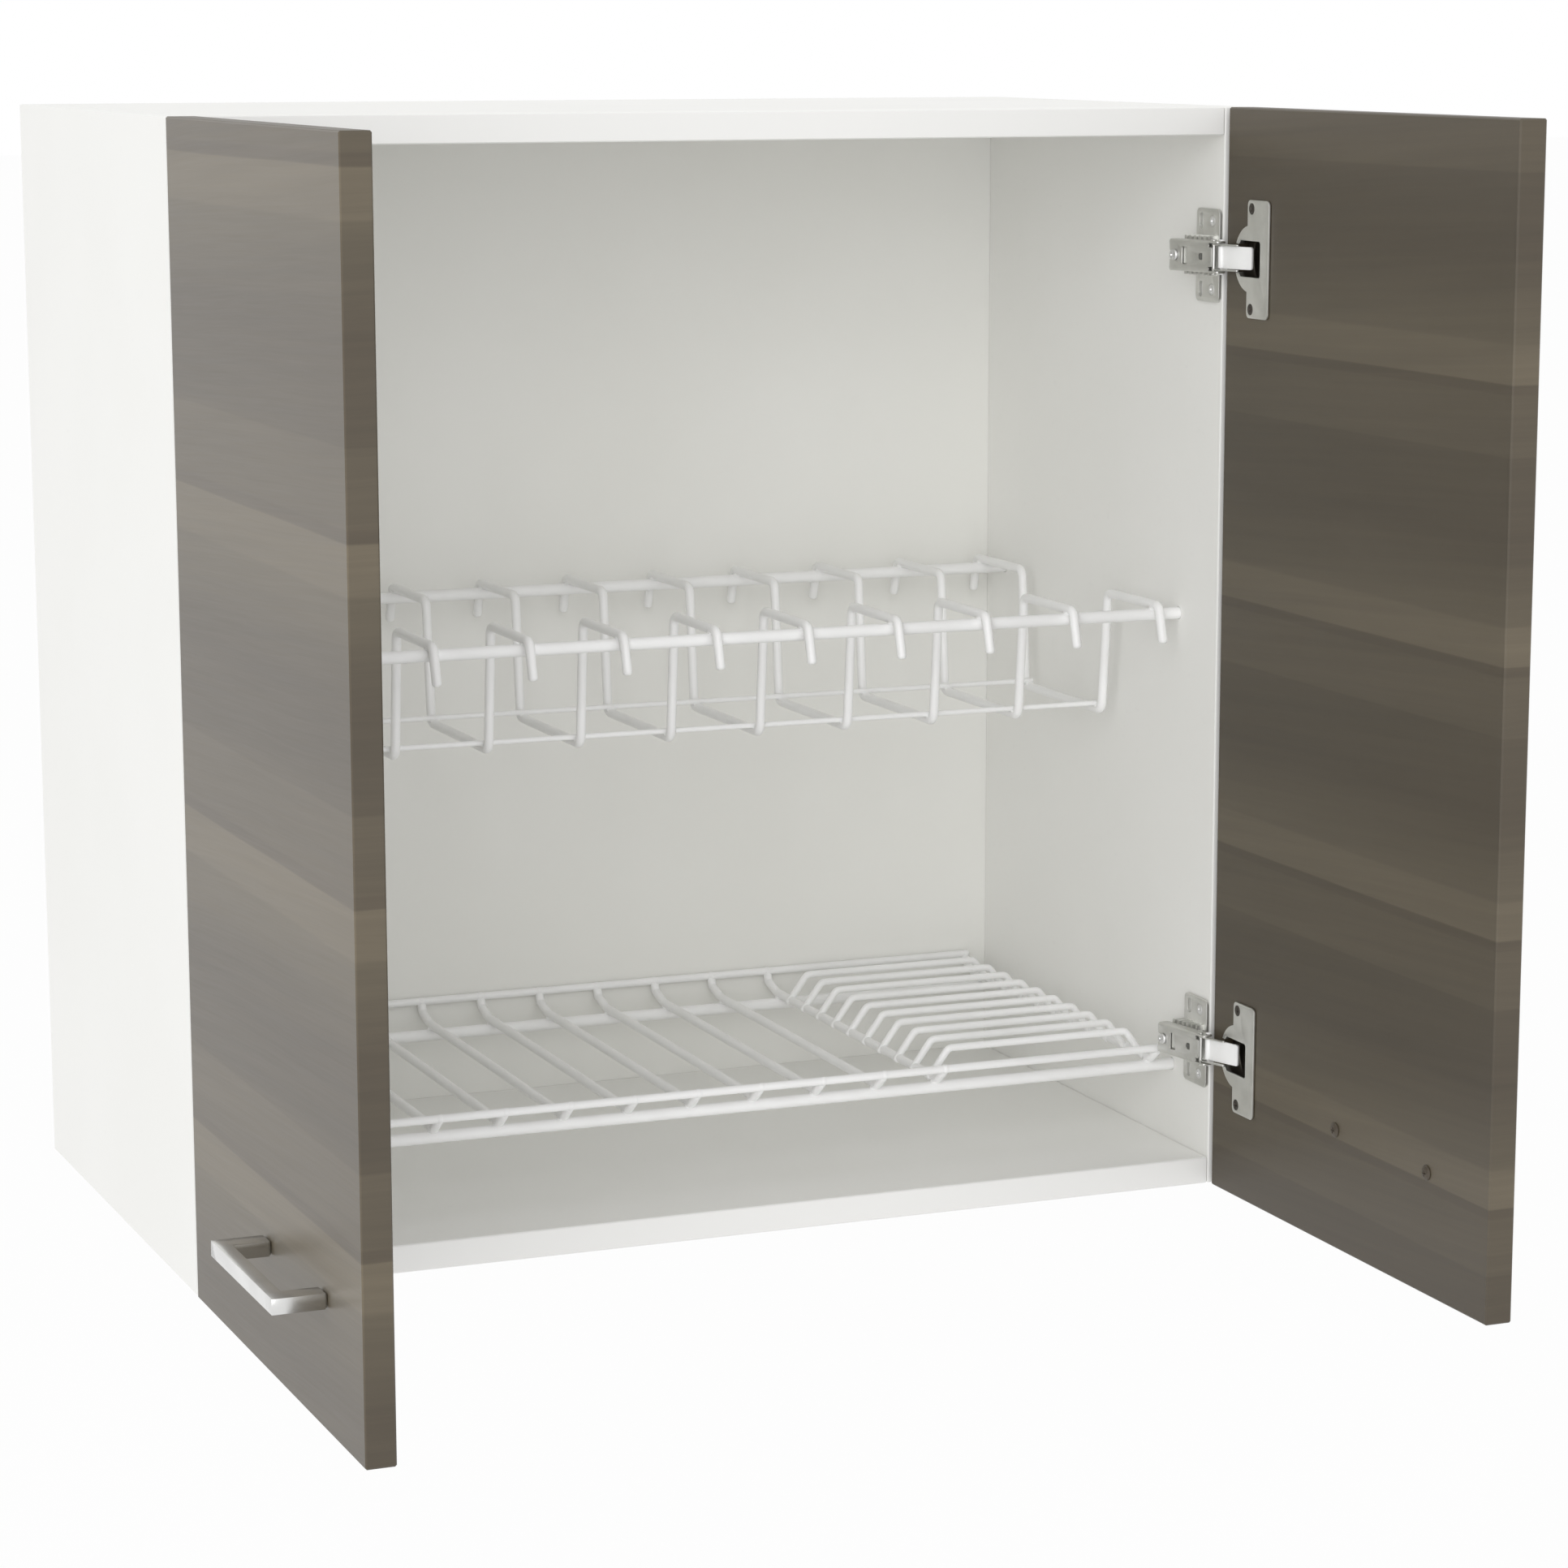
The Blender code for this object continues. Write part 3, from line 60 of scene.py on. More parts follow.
EYE_PLACE = (-0.84328, -2.47117, 0.05533)
EYE_LOOKS_DOWN = math.radians(10.796)
EYE_LOOKS_RIGHT = math.radians(22.587)
LAMP_PLACE = Vector((-1.9, -3.8, 0.6))
LAMP_AIM = Vector((0.0, -0.2, -0.3))
FLOOR_BELOW_CABINET = 0.35
FLOOR_SPAN = 60.0
FLOOR_GLOW = 0.93

eye = bpy.data.cameras.new("studio_camera")
eye.sensor_width = 36.0
eye.lens = 101.21
eye.shift_x = -0.02488
eye.shift_y = 0.0468
eye.clip_end = 200.0
camera = bpy.data.objects.new("studio_camera", eye)
camera.location = EYE_PLACE
camera.rotation_euler = (math.pi / 2 - EYE_LOOKS_DOWN, 0.0, -EYE_LOOKS_RIGHT)
bpy.context.scene.collection.objects.link(camera)
bpy.context.scene.camera = camera
bpy.context.scene.view_settings.view_transform = "Standard"

lamp = bpy.data.lights.new("key_lamp", "AREA")
lamp.shape = "SQUARE"
lamp.size = 3.0
lamp.energy = 60.0
key_lamp = bpy.data.objects.new("key_lamp", lamp)
key_lamp.location = LAMP_PLACE
key_lamp.rotation_euler = (LAMP_AIM - LAMP_PLACE).to_track_quat("-Z", "Y").to_euler()
bpy.context.scene.collection.objects.link(key_lamp)


class Value:
    """A shader socket on which sums are written as Python; each one adds a Math node."""

    def __init__(self, finish, socket):
        self.finish = finish
        self.socket = socket

    def __add__(self, other):
        return self.finish.maths("ADD", self, other)

    def __radd__(self, other):
        return self.finish.maths("ADD", other, self)

    def __sub__(self, other):
        return self.finish.maths("SUBTRACT", self, other)

    def __rsub__(self, other):
        return self.finish.maths("SUBTRACT", other, self)

    def __mul__(self, other):
        return self.finish.maths("MULTIPLY", self, other)

    def __rmul__(self, other):
        return self.finish.maths("MULTIPLY", other, self)


class Finish:
    """A material: its nodes, and the shader that they feed."""

    def __init__(self, name, data=None):
        self.data = data or bpy.data.materials.new(name)
        self.data.use_nodes = True
        self.tree = self.data.node_tree
        self.shader = self.tree.nodes.get("Principled BSDF")

    def node(self, kind, settings=None, sockets=None, output=0):
        """Adds a node: its settings, then the values or links of its sockets."""
        made = self.tree.nodes.new(kind)
        for setting, value in (settings or {}).items():
            if setting == "stops":
                stops = made.color_ramp.elements
                for place, _ in value[1:-1]:
                    stops.new(place)
                for stop, (_, colour) in zip(stops, value):
                    stop.color = (*colour, 1.0)
            else:
                setattr(made, setting, value)
        for socket, value in (sockets or {}).items():
            self.feed(made.inputs[socket], value)
        return Value(self, made.outputs[output])

    def feed(self, socket, value):
        if isinstance(value, Value):
            self.tree.links.new(value.socket, socket)
        else:
            socket.default_value = value

    def wear(self, **sockets):
        """Feeds the shader; Base_Color stands for its socket Base Color."""
        for socket, value in sockets.items():
            self.feed(self.shader.inputs[socket.replace("_", " ")], value)

    def place(self, scale=(1.0, 1.0, 1.0)):
        """The place on the piece, drawn out or pressed along its axes by a scale."""
        here = self.node("ShaderNodeTexCoord", output="Object")
        return self.node("ShaderNodeMapping", {}, {"Vector": here, "Scale": scale})

    def along(self, axis):
        """The place along one axis of the piece."""
        return self.node("ShaderNodeSeparateXYZ", {}, {"Vector": self.place()}, output=axis)

    def noise(self, where, scale, detail=2.0, roughness=0.5):
        return self.node("ShaderNodeTexNoise", {}, {"Vector": where, "Scale": scale,
                                                    "Detail": detail, "Roughness": roughness})

    def maths(self, operation, *values):
        return self.node("ShaderNodeMath", {"operation": operation}, dict(enumerate(values)))

    def ease(self, value, low, high):
        """0 below low, 1 above high, and smooth between them."""
        return self.node("ShaderNodeMapRange", {"interpolation_type": "SMOOTHSTEP"},
                         {"Value": value, "From Min": low, "From Max": high})

    def blend(self, share, first, second, kind="MIX"):
        """Mixes two colours by a share."""
        return self.node("ShaderNodeMix", {"data_type": "RGBA", "blend_type": kind},
                         {"Factor": share, 6: first, 7: second}, output=2)

    def bump(self, height, strength, distance):
        return self.node("ShaderNodeBump", {}, {"Strength": strength, "Distance": distance,
                                                "Height": height})


def rgb(red, green, blue):
    return (red, green, blue, 1.0)


def seen_share(finish):
    """1 where the camera or a reflection looks, and 0 for light that falls on things."""
    rays = [finish.node("ShaderNodeLightPath", output=ray)
            for ray in ("Is Camera Ray", "Is Glossy Ray", "Is Transmission Ray")]
    return finish.maths("MAXIMUM", finish.maths("MAXIMUM", rays[0], rays[1]), rays[2])


world = bpy.data.worlds.new("white_studio")
bpy.context.scene.world = world
sky = Finish("white_studio", world)
sky.feed(sky.tree.nodes["Background"].inputs["Color"],
         sky.blend(seen_share(sky), rgb(0.86, 0.86, 0.86), rgb(1.0, 1.0, 1.0)))

bm = bmesh.new()
bmesh.ops.create_grid(bm, x_segments=1, y_segments=1, size=FLOOR_SPAN / 2,
                      matrix=Matrix.Translation((0, 0, cad_box[0][2] - FLOOR_BELOW_CABINET)))
mesh = bpy.data.meshes.new("studio_floor")
bm.to_mesh(mesh)
bm.free()
studio_floor = bpy.data.objects.new("studio_floor", mesh)
bpy.context.scene.collection.objects.link(studio_floor)

floor_paint = Finish("pale_floor")
mesh.materials.append(floor_paint.data)
floor_mottle = floor_paint.noise(floor_paint.place(), 3.0)
floor_paint.wear(Base_Color=floor_paint.blend(floor_mottle, rgb(0.86, 0.86, 0.86),
                                              rgb(0.88, 0.88, 0.88)), Roughness=0.9)
glow = floor_paint.node("ShaderNodeEmission", {}, {"Color": rgb(1.0, 1.0, 1.0), "Strength": 1.0})
painted = Value(floor_paint, floor_paint.shader.outputs[0])
both = floor_paint.node("ShaderNodeMixShader", {}, {0: seen_share(floor_paint) * FLOOR_GLOW,
                                                    1: painted, 2: glow})
floor_paint.feed(floor_paint.tree.nodes["Material Output"].inputs["Surface"], both)


# Carcass: two sides, a top and a bottom of 15 mm white melamine board with thin edge bands, a rail
# of the same board, and a thin white back board in grooves. The solids have the real shape; the
# finish adds the melamine's fine pearl and mottle, and duller bands on the front edges.

BAND_STARTS_Y = -0.3245
BAND_BLUR = 0.0003

carcass_white = Finish("white_melamine")
board_cloud = carcass_white.noise(carcass_white.place(), 7.0, 3.0)
board_pearl = carcass_white.noise(carcass_white.place(), 900.0, 2.0)
board_grain = carcass_white.noise(carcass_white.place(), 220.0, 3.0, 0.6)
board_tint = carcass_white.blend(carcass_white.ease(board_cloud, 0.3, 0.7),
                                 rgb(0.915, 0.913, 0.884), rgb(0.930, 0.928, 0.902))
edge_band = 1.0 - carcass_white.ease(carcass_white.along("Y"), BAND_STARTS_Y - BAND_BLUR,
                                     BAND_STARTS_Y + BAND_BLUR)
board_tint = carcass_white.blend(edge_band, board_tint, rgb(0.850, 0.847, 0.830))
carcass_white.wear(
    Base_Color=carcass_white.blend(carcass_white.ease(board_grain, 0.62, 0.80) * 0.35,
                                   board_tint, rgb(0.84, 0.835, 0.82)),
    Roughness=0.36 + board_grain * 0.14,
    Normal=carcass_white.bump(board_pearl * 0.6 + board_grain * 0.4, 0.16, 0.00012))
for name in ("side_panel_left", "side_panel_right", "top_panel", "bottom_panel",
             "hanging_rail"):
    nodes[name].material_slots[0].material = carcass_white.data

back_white = Finish("white_back_board")
back_cloud = back_white.noise(back_white.place(), 5.0, 3.0)
back_fibre = back_white.noise(back_white.place((1.0, 1.0, 0.35)), 420.0, 3.0, 0.6)
back_white.wear(
    Base_Color=back_white.blend(back_white.ease(back_cloud, 0.3, 0.7),
                                rgb(0.852, 0.850, 0.812), rgb(0.877, 0.875, 0.842)),
    Roughness=0.46 + back_fibre * 0.12,
    Normal=back_white.bump(back_fibre, 0.14, 0.00012))
nodes["back_panel"].material_slots[0].material = back_white.data


# Hanger plates: two folded plates of galvanised sheet hook over the rail behind the back board,
# each with a keyhole for the wall screw and a screw of its own. They are pressed parts whose
# solids have the real shape; the finish adds the spangle of the zinc and its dull patches.

galvanised = Finish("galvanised_sheet")
spangle = galvanised.node("ShaderNodeTexVoronoi", {"feature": "F1"},
                          {"Vector": galvanised.place(), "Scale": 260.0}, output="Color")
spangle_tone = galvanised.node("ShaderNodeSeparateColor", {}, {"Color": spangle})
zinc_patch = galvanised.noise(galvanised.place(), 60.0, 4.0, 0.6)
galvanised.wear(
    Base_Color=galvanised.blend(spangle_tone * 0.7 + zinc_patch * 0.3,
                                rgb(0.46, 0.47, 0.49), rgb(0.68, 0.69, 0.70)),
    Metallic=1.0 - galvanised.ease(zinc_patch, 0.55, 0.75) * 0.25,
    Roughness=0.30 + spangle_tone * 0.22,
    Normal=galvanised.bump(zinc_patch, 0.10, 0.0002))
for name in ("hanger_plate_left", "hanger_plate_right"):
    nodes[name].material_slots[0].material = galvanised.data


# Upper rack: eleven bent wires lie over two rails that sit in holes of the sides, and two thin rods
# join their low runs. All of it is steel wire, spot-welded at the crossings and dipped in a white
# plastic coat, which rounds the ends and fills the corners at the welds.

CARCASS_FRONT = 0.325
CARCASS_FOOT = 0.5925
IN_SIDE = 0.2935
RAIL_RADIUS = 0.0034
WIRE_RADIUS = 0.0026
ROD_RADIUS = 0.0015
RAIL_PLACES = (0.0465, 0.2780)
UPPER_RAIL_Z = 0.3190
HOOK_COUNT = 11
HOOK_PITCH = 0.053
MIDDLE_HOOK_X = 0.0045
HOOK_X = [MIDDLE_HOOK_X + (index - HOOK_COUNT // 2) * HOOK_PITCH for index in range(HOOK_COUNT)]
# The front half's corners along Y and Z: the lip's foot, the lip's top, the drop and its foot.
HOOK_FRONT = [(0.0343, 0.3040), (0.0403, 0.3244), (0.1045, 0.3244), (0.1110, 0.2555)]
HOOK_BEND = 0.0050
THIN_ROD_PLACES = (0.1155, 0.2090)
THIN_ROD_Z = 0.2590
RAIL_WELD = (0.0032, 0.0034, 0.0014)
THIN_ROD_WELD = (0.0030, 0.0022, 0.0012)
# The dome on a wire's end: the lift and the narrowing of each ring, as shares of the radius.
DOME_RINGS = ((0.28, 0.92), (0.24, 0.76), (0.12, 0.5))
DOME_LIFT = sum(lift for lift, _ in DOME_RINGS)
SAME_SPOT = 0.000002
SHARP_EDGE = math.radians(38)

wire_coat = Finish("white_coated_wire")
coat_sag = wire_coat.noise(wire_coat.place(), 160.0, 2.0)
coat_cloud = wire_coat.noise(wire_coat.place(), 30.0, 3.0)
wire_coat.wear(
    Base_Color=wire_coat.blend(wire_coat.ease(coat_cloud, 0.35, 0.65),
                               rgb(0.925, 0.925, 0.918), rgb(0.950, 0.950, 0.945)),
    Roughness=0.26 + coat_sag * 0.16,
    Normal=wire_coat.bump(coat_sag, 0.12, 0.0003))


def ring_edges(verts):
    """The edges between the vertices of one ring."""
    ring = set(verts)
    return [edge for edge in {edge for vert in ring for edge in vert.link_edges}
            if all(vert in ring for vert in edge.verts)]


def pull_ring(bm, edges, step, width=1.0):
    """Draws a ring on by a step, and widens or narrows it; returns the new ring's edges."""
    drawn = bmesh.ops.extrude_edge_only(bm, edges=edges)["geom"]
    verts = [piece for piece in drawn if isinstance(piece, bmesh.types.BMVert)]
    bmesh.ops.translate(bm, verts=verts, vec=step)
    middle = sum((vert.co for vert in verts), Vector()) / len(verts)
    if width != 1.0:
        bmesh.ops.scale(bm, verts=verts, vec=(width, width, width),
                        space=Matrix.Translation(-middle))
    return ring_edges(verts)


def round_end(bm, edges, way, radius):
    """Closes a wire's end with a low dome."""
    for lift, width in DOME_RINGS:
        edges = pull_ring(bm, edges, way * (lift * radius), width)
    bmesh.ops.edgeloop_fill(bm, edges=edges)


def draw_wire(bm, corners, radius, bend=0.0, sides=16, steps=6):
    """A round wire from corner to corner, with its inner corners spun to a bend radius."""
    corners = [Vector(corner) for corner in corners]
    runs = [(after - before).normalized() for before, after in zip(corners, corners[1:])]
    dome = radius * DOME_LIFT
    start = corners[0] + runs[0] * dome
    turn = runs[0].to_track_quat("Z", "Y").to_matrix().to_4x4()
    first = bmesh.ops.create_circle(bm, cap_ends=False, radius=radius, segments=sides,
                                    matrix=Matrix.Translation(start) @ turn)["verts"]
    first_edges = ring_edges(first)
    edges = first_edges
    here = start
    for corner, into, out in zip(corners[1:], runs, runs[1:]):
        half = into.angle(out) / 2
        reach = bend * math.tan(half)
        edges = pull_ring(bm, edges, corner - into * reach - here)
        axis = into.cross(out).normalized()
        centre = corner - into * reach + axis.cross(into) * bend
        verts = {vert for edge in edges for vert in edge.verts}
        spun = bmesh.ops.spin(bm, geom=list(verts) + edges, cent=centre, axis=axis,
                              angle=2 * half, steps=steps, use_duplicate=False)["geom_last"]
        edges = [piece for piece in spun if isinstance(piece, bmesh.types.BMEdge)]
        here = corner + out * reach
    edges = pull_ring(bm, edges, corners[-1] - runs[-1] * dome - here)
    round_end(bm, edges, runs[-1], radius)
    round_end(bm, first_edges, -runs[0], radius)


def weld_drop(bm, place, size):
    """The coat's fillet where two wires cross."""
    shape = Matrix.Translation(place) @ Matrix.Diagonal((*size, 1.0))
    bmesh.ops.create_uvsphere(bm, u_segments=12, v_segments=8, radius=1.0, matrix=shape)


def shift(bm, x, y, z):
    bmesh.ops.translate(bm, verts=bm.verts, vec=(x, y, z))


def set_in_place(bm, name, finish, body, replaced):
    """Makes the piece from a mesh whose origin is the middle of the cabinet's front foot."""
    bmesh.ops.remove_doubles(bm, verts=bm.verts, dist=SAME_SPOT)
    bmesh.ops.recalc_face_normals(bm, faces=bm.faces)
    shift(bm, 0, -CARCASS_FRONT, -CARCASS_FOOT)
    mesh = bpy.data.meshes.new(name)
    bm.to_mesh(mesh)
    bm.free()
    mesh.shade_smooth()
    mesh.set_sharp_from_angle(angle=SHARP_EDGE)
    mesh.materials.append(finish.data)
    piece = bpy.data.objects.new(name, mesh)
    bpy.context.scene.collection.objects.link(piece)
    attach(piece, body)
    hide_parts(replaced)


def add_rails(bm, height):
    for rail_y in RAIL_PLACES:
        draw_wire(bm, [(-IN_SIDE, rail_y, height), (IN_SIDE, rail_y, height)], RAIL_RADIUS,
                  sides=20)


bm = bmesh.new()
add_rails(bm, UPPER_RAIL_Z)
hook_rear = [(sum(RAIL_PLACES) - y, z) for y, z in reversed(HOOK_FRONT)]
for x in HOOK_X:
    draw_wire(bm, [(x, y, z) for y, z in HOOK_FRONT + hook_rear], WIRE_RADIUS, HOOK_BEND)
    for rail_y in RAIL_PLACES:
        weld_drop(bm, (x, rail_y, UPPER_RAIL_Z + RAIL_RADIUS), RAIL_WELD)
    for rod_y in THIN_ROD_PLACES:
        weld_drop(bm, (x, rod_y, THIN_ROD_Z - ROD_RADIUS), THIN_ROD_WELD)
for rod_y in THIN_ROD_PLACES:
    draw_wire(bm, [(HOOK_X[0] - WIRE_RADIUS, rod_y, THIN_ROD_Z),
                   (HOOK_X[-1] + WIRE_RADIUS, rod_y, THIN_ROD_Z)], ROD_RADIUS)
set_in_place(bm, "coated_upper_rack", wire_coat, "cabinet", "upper_rack")


# Lower rack: thirteen long wires lie on two rails and turn up at the front and the back, where an
# edge rod closes each row. At the right ten low loops stand on the last two wires. It is welded
# and coated as the upper rack is.

LOWER_RAIL_Z = 0.0592
TRAY_WIRE_Z = 0.0646
TRAY_COUNT = 13
TRAY_PITCH = 0.0368
TRAY_LEFT = -0.2677
TRAY_RIGHT = 0.2700
TRAY_X = [TRAY_LEFT + index * TRAY_PITCH for index in range(TRAY_COUNT - 1)] + [TRAY_RIGHT]
# A long wire's corners along Y and Z, from the front to the back.
TRAY_PROFILE = [(0.0345, 0.0716), (0.0435, TRAY_WIRE_Z), (0.2830, TRAY_WIRE_Z),
                (0.2970, 0.0686), (0.2995, 0.0736)]
TRAY_BEND = 0.0038
EDGE_ROD_RADIUS = 0.0023
EDGE_RODS = ((0.0336, 0.0723), (0.3000, 0.0746))
EDGE_ROD_WELD = (0.0031, 0.0026, 0.0026)
LOOP_RADIUS = 0.0021
LOOP_COUNT = 10
LOOP_PITCH = 0.02319
FIRST_LOOP_Y = 0.0512
LOOP_Y = [FIRST_LOOP_Y + index * LOOP_PITCH for index in range(LOOP_COUNT)]
# A loop's corners along X and Z, from its left foot to its right one.
LOOP_PROFILE = [(0.1345, 0.0626), (0.1470, 0.0796), (0.2575, 0.0796), (0.2700, 0.0626)]
LOOP_BEND = 0.0045
LOOP_WELD = (0.0028, 0.0027, 0.0026)

bm = bmesh.new()
add_rails(bm, LOWER_RAIL_Z)
for x in TRAY_X:
    draw_wire(bm, [(x, y, z) for y, z in TRAY_PROFILE], WIRE_RADIUS, TRAY_BEND, steps=4)
    for rail_y in RAIL_PLACES:
        weld_drop(bm, (x, rail_y, LOWER_RAIL_Z + RAIL_RADIUS), RAIL_WELD)
    for rod_y, rod_z in EDGE_RODS:
        weld_drop(bm, (x, rod_y, rod_z), EDGE_ROD_WELD)
for rod_y, rod_z in EDGE_RODS:
    draw_wire(bm, [(TRAY_X[0] - WIRE_RADIUS, rod_y, rod_z),
                   (TRAY_X[-1] + WIRE_RADIUS, rod_y, rod_z)], EDGE_ROD_RADIUS)
for y in LOOP_Y:
    draw_wire(bm, [(x, y, z) for x, z in LOOP_PROFILE], LOOP_RADIUS, LOOP_BEND, steps=5)
    for x in TRAY_X[-2:]:
        weld_drop(bm, (x, y, TRAY_WIRE_Z), LOOP_WELD)
set_in_place(bm, "coated_lower_rack", wire_coat, "cabinet", "lower_rack")


# Doors: two leaves of 15 mm board in a matt foil, printed as dark yellow-brown wood whose grain
# runs across the door. The print repeats four planks, the other way up on the right door. The
# solids have the real shape, bored for the hinges; the foil is smoother outside, where its colour
# is lifted as a painted sheen.

DOOR_TOP = 0.0075
OUTSIDE_STARTS = 0.2999
OUTSIDE_BLUR = 0.0003
# How often each door's print repeats in a metre down from its top, and where it starts.
LEFT_PRINT, LEFT_SHIFT = 6.150, -0.0990
RIGHT_PRINT, RIGHT_SHIFT = -7.283, 0.9279
PLANK_TONES = [
    (0.0, (0.118, 0.0965, 0.0645)), (0.136, (0.116, 0.0950, 0.0635)),
    (0.146, (0.097, 0.0795, 0.0525)), (0.450, (0.069, 0.0545, 0.0360)),
    (0.700, (0.072, 0.0575, 0.0380)), (0.739, (0.074, 0.0590, 0.0390)),
    (0.744, (0.089, 0.0720, 0.0480)), (0.957, (0.086, 0.0695, 0.0460)),
    (0.963, (0.077, 0.0610, 0.0405)), (0.995, (0.077, 0.0610, 0.0405)),
    (1.0, (0.118, 0.0965, 0.0645))]
STREAK_SLANT = 0.06

door_foil = Finish("yellow_brown_wood_foil")
across, along, up = [door_foil.along(axis) for axis in "XYZ"]
wander = door_foil.noise(door_foil.place((8.0, 3.2, 9.0)), 1.0, 2.0) - 0.5
right_door = door_foil.maths("GREATER_THAN", across, 0.0)
outside = door_foil.ease(door_foil.maths("ABSOLUTE", across), OUTSIDE_STARTS - OUTSIDE_BLUR,
                         OUTSIDE_STARTS + OUTSIDE_BLUR)
repeats = LEFT_PRINT + right_door * (RIGHT_PRINT - LEFT_PRINT)
print_shift = LEFT_SHIFT + right_door * (RIGHT_SHIFT - LEFT_SHIFT)
print_place = door_foil.maths("FRACT", (DOOR_TOP + wander * 0.003 - up) * repeats + print_shift)
plank_colour = door_foil.node("ShaderNodeValToRGB", {"stops": PLANK_TONES}, {"Fac": print_place})
slanted = door_foil.node("ShaderNodeCombineXYZ", {}, {
    "X": across, "Y": along, "Z": up + along * STREAK_SLANT + wander * 0.012})


def grain(run, rise, detail=3.0, roughness=0.55):
    """Noise drawn out along the door: how often it changes along and up it."""
    stretched = door_foil.node("ShaderNodeMapping", {}, {"Vector": slanted,
                                                         "Scale": (8.0, run, rise)})
    return door_foil.noise(stretched, 1.0, detail, roughness)


broad_streak = grain(2.4, 46.0)
long_streak = grain(5.0, 230.0, 3.0, 0.6)
fine_streak = grain(16.0, 900.0, 3.0, 0.65)
# On the outer faces the print's tone is lifted by a quarter: a painted sheen, not a lighter foil.
streak_and_sheen_tone = (broad_streak * 0.26 + long_streak * 0.36 + fine_streak * 0.16 + 0.61) * (
    1.0 + outside * 0.25)
door_foil.wear(
    Base_Color=door_foil.blend(1.0, plank_colour, streak_and_sheen_tone, "MULTIPLY"),
    Roughness=0.40 + fine_streak * 0.10 - outside * 0.10,
    Normal=door_foil.bump(fine_streak * 0.5 + long_streak * 0.5, 0.12, 0.00015))
for name in ("door_left", "door_right"):
    nodes[name].material_slots[0].material = door_foil.data


# Handles: a square bow of satin-chromed metal low on each door. It is a flat bar on two legs, whose
# last millimetre is a little narrower and leaves a thin dark line at the door. Two screws from
# inside the door hold it.

HANDLE_FOOT = 0.3008
HANDLE_FACE = 0.3275
HANDLE_BAR = 0.0076
HANDLE_ENDS = (-0.2460, -0.1380)
HANDLE_LEG = 0.0120
HANDLE_Z = 0.0647
HANDLE_HALF = 0.0039
HANDLE_SHADOW_GAP = 0.0009
HANDLE_TIP_SHARE = 0.86
HANDLE_EDGE_ROUND = 0.0003
SQUARE_EDGE = 1.2

chrome = Finish("satin_chrome")
chrome_brush = chrome.noise(chrome.place((900.0, 14.0, 2600.0)), 1.0, 2.0, 0.6)
chrome_haze = chrome.noise(chrome.place(), 45.0, 3.0)
chrome.wear(
    Base_Color=chrome.blend(chrome.ease(chrome_haze, 0.3, 0.7), rgb(0.72, 0.72, 0.71),
                            rgb(0.80, 0.80, 0.79)),
    Metallic=1.0,
    Roughness=0.17 + chrome_brush * 0.08,
    Normal=chrome.bump(chrome_brush, 0.04, 0.0001))


def push_face(bm, face, step, width=1.0):
    """Draws a face on by a step and narrows or widens it; returns the moved face."""
    grown = bmesh.ops.extrude_discrete_faces(bm, faces=[face])["faces"][0]
    verts = list(grown.verts)
    bmesh.ops.translate(bm, verts=verts, vec=step)
    if width != 1.0:
        middle = grown.calc_center_median()
        bmesh.ops.scale(bm, verts=verts, vec=(width, width, width),
                        space=Matrix.Translation(-middle))
    return grown


def cut_through(bm, place, way):
    """Splits every face that a plane crosses."""
    bmesh.ops.bisect_plane(bm, geom=bm.verts[:] + bm.edges[:] + bm.faces[:], plane_co=place,
                           plane_no=way)


def round_edges(bm, edges, radius, clamp=False):
    bmesh.ops.bevel(bm, geom=edges, offset=radius, segments=2, profile=0.5, affect="EDGES",
                    material=-1, clamp_overlap=clamp)


def mirror_to_left(bm):
    """Turns a piece for the right into the one for the left."""
    bmesh.ops.scale(bm, verts=bm.verts, vec=(-1.0, 1.0, 1.0))
    bmesh.ops.reverse_faces(bm, faces=bm.faces)


def make_handle(side):
    bm = bmesh.new()
    middle = ((HANDLE_FACE - HANDLE_BAR / 2), sum(HANDLE_ENDS) / 2, HANDLE_Z)
    span = (HANDLE_BAR, HANDLE_ENDS[1] - HANDLE_ENDS[0], 2 * HANDLE_HALF)
    bmesh.ops.create_cube(bm, size=1.0,
                          matrix=Matrix.Translation(middle) @ Matrix.Diagonal((*span, 1.0)))
    for cut in (HANDLE_ENDS[0] + HANDLE_LEG, HANDLE_ENDS[1] - HANDLE_LEG):
        cut_through(bm, (0, cut, 0), (0, 1, 0))
    legs = [face for face in bm.faces if face.normal.x < -0.9
            and abs(face.calc_center_median().y - middle[1]) > HANDLE_LEG]
    straight = HANDLE_FACE - HANDLE_BAR - HANDLE_FOOT - HANDLE_SHADOW_GAP
    for leg in legs:
        tip = push_face(bm, leg, (-straight, 0, 0))
        tip = push_face(bm, tip, (0, 0, 0), HANDLE_TIP_SHARE)
        push_face(bm, tip, (-HANDLE_SHADOW_GAP, 0, 0))
    bmesh.ops.remove_doubles(bm, verts=bm.verts, dist=SAME_SPOT)
    bmesh.ops.recalc_face_normals(bm, faces=bm.faces)
    corners = [edge for edge in bm.edges if edge.calc_face_angle(0.0) > SQUARE_EDGE
               and edge.calc_length() > 3 * HANDLE_SHADOW_GAP]
    round_edges(bm, corners, HANDLE_EDGE_ROUND, clamp=True)
    if side == "left":
        mirror_to_left(bm)
    set_in_place(bm, f"bow_handle_{side}", chrome, f"door_{side}",
                 f"handle_{side}")


for side in ("left", "right"):
    make_handle(side)
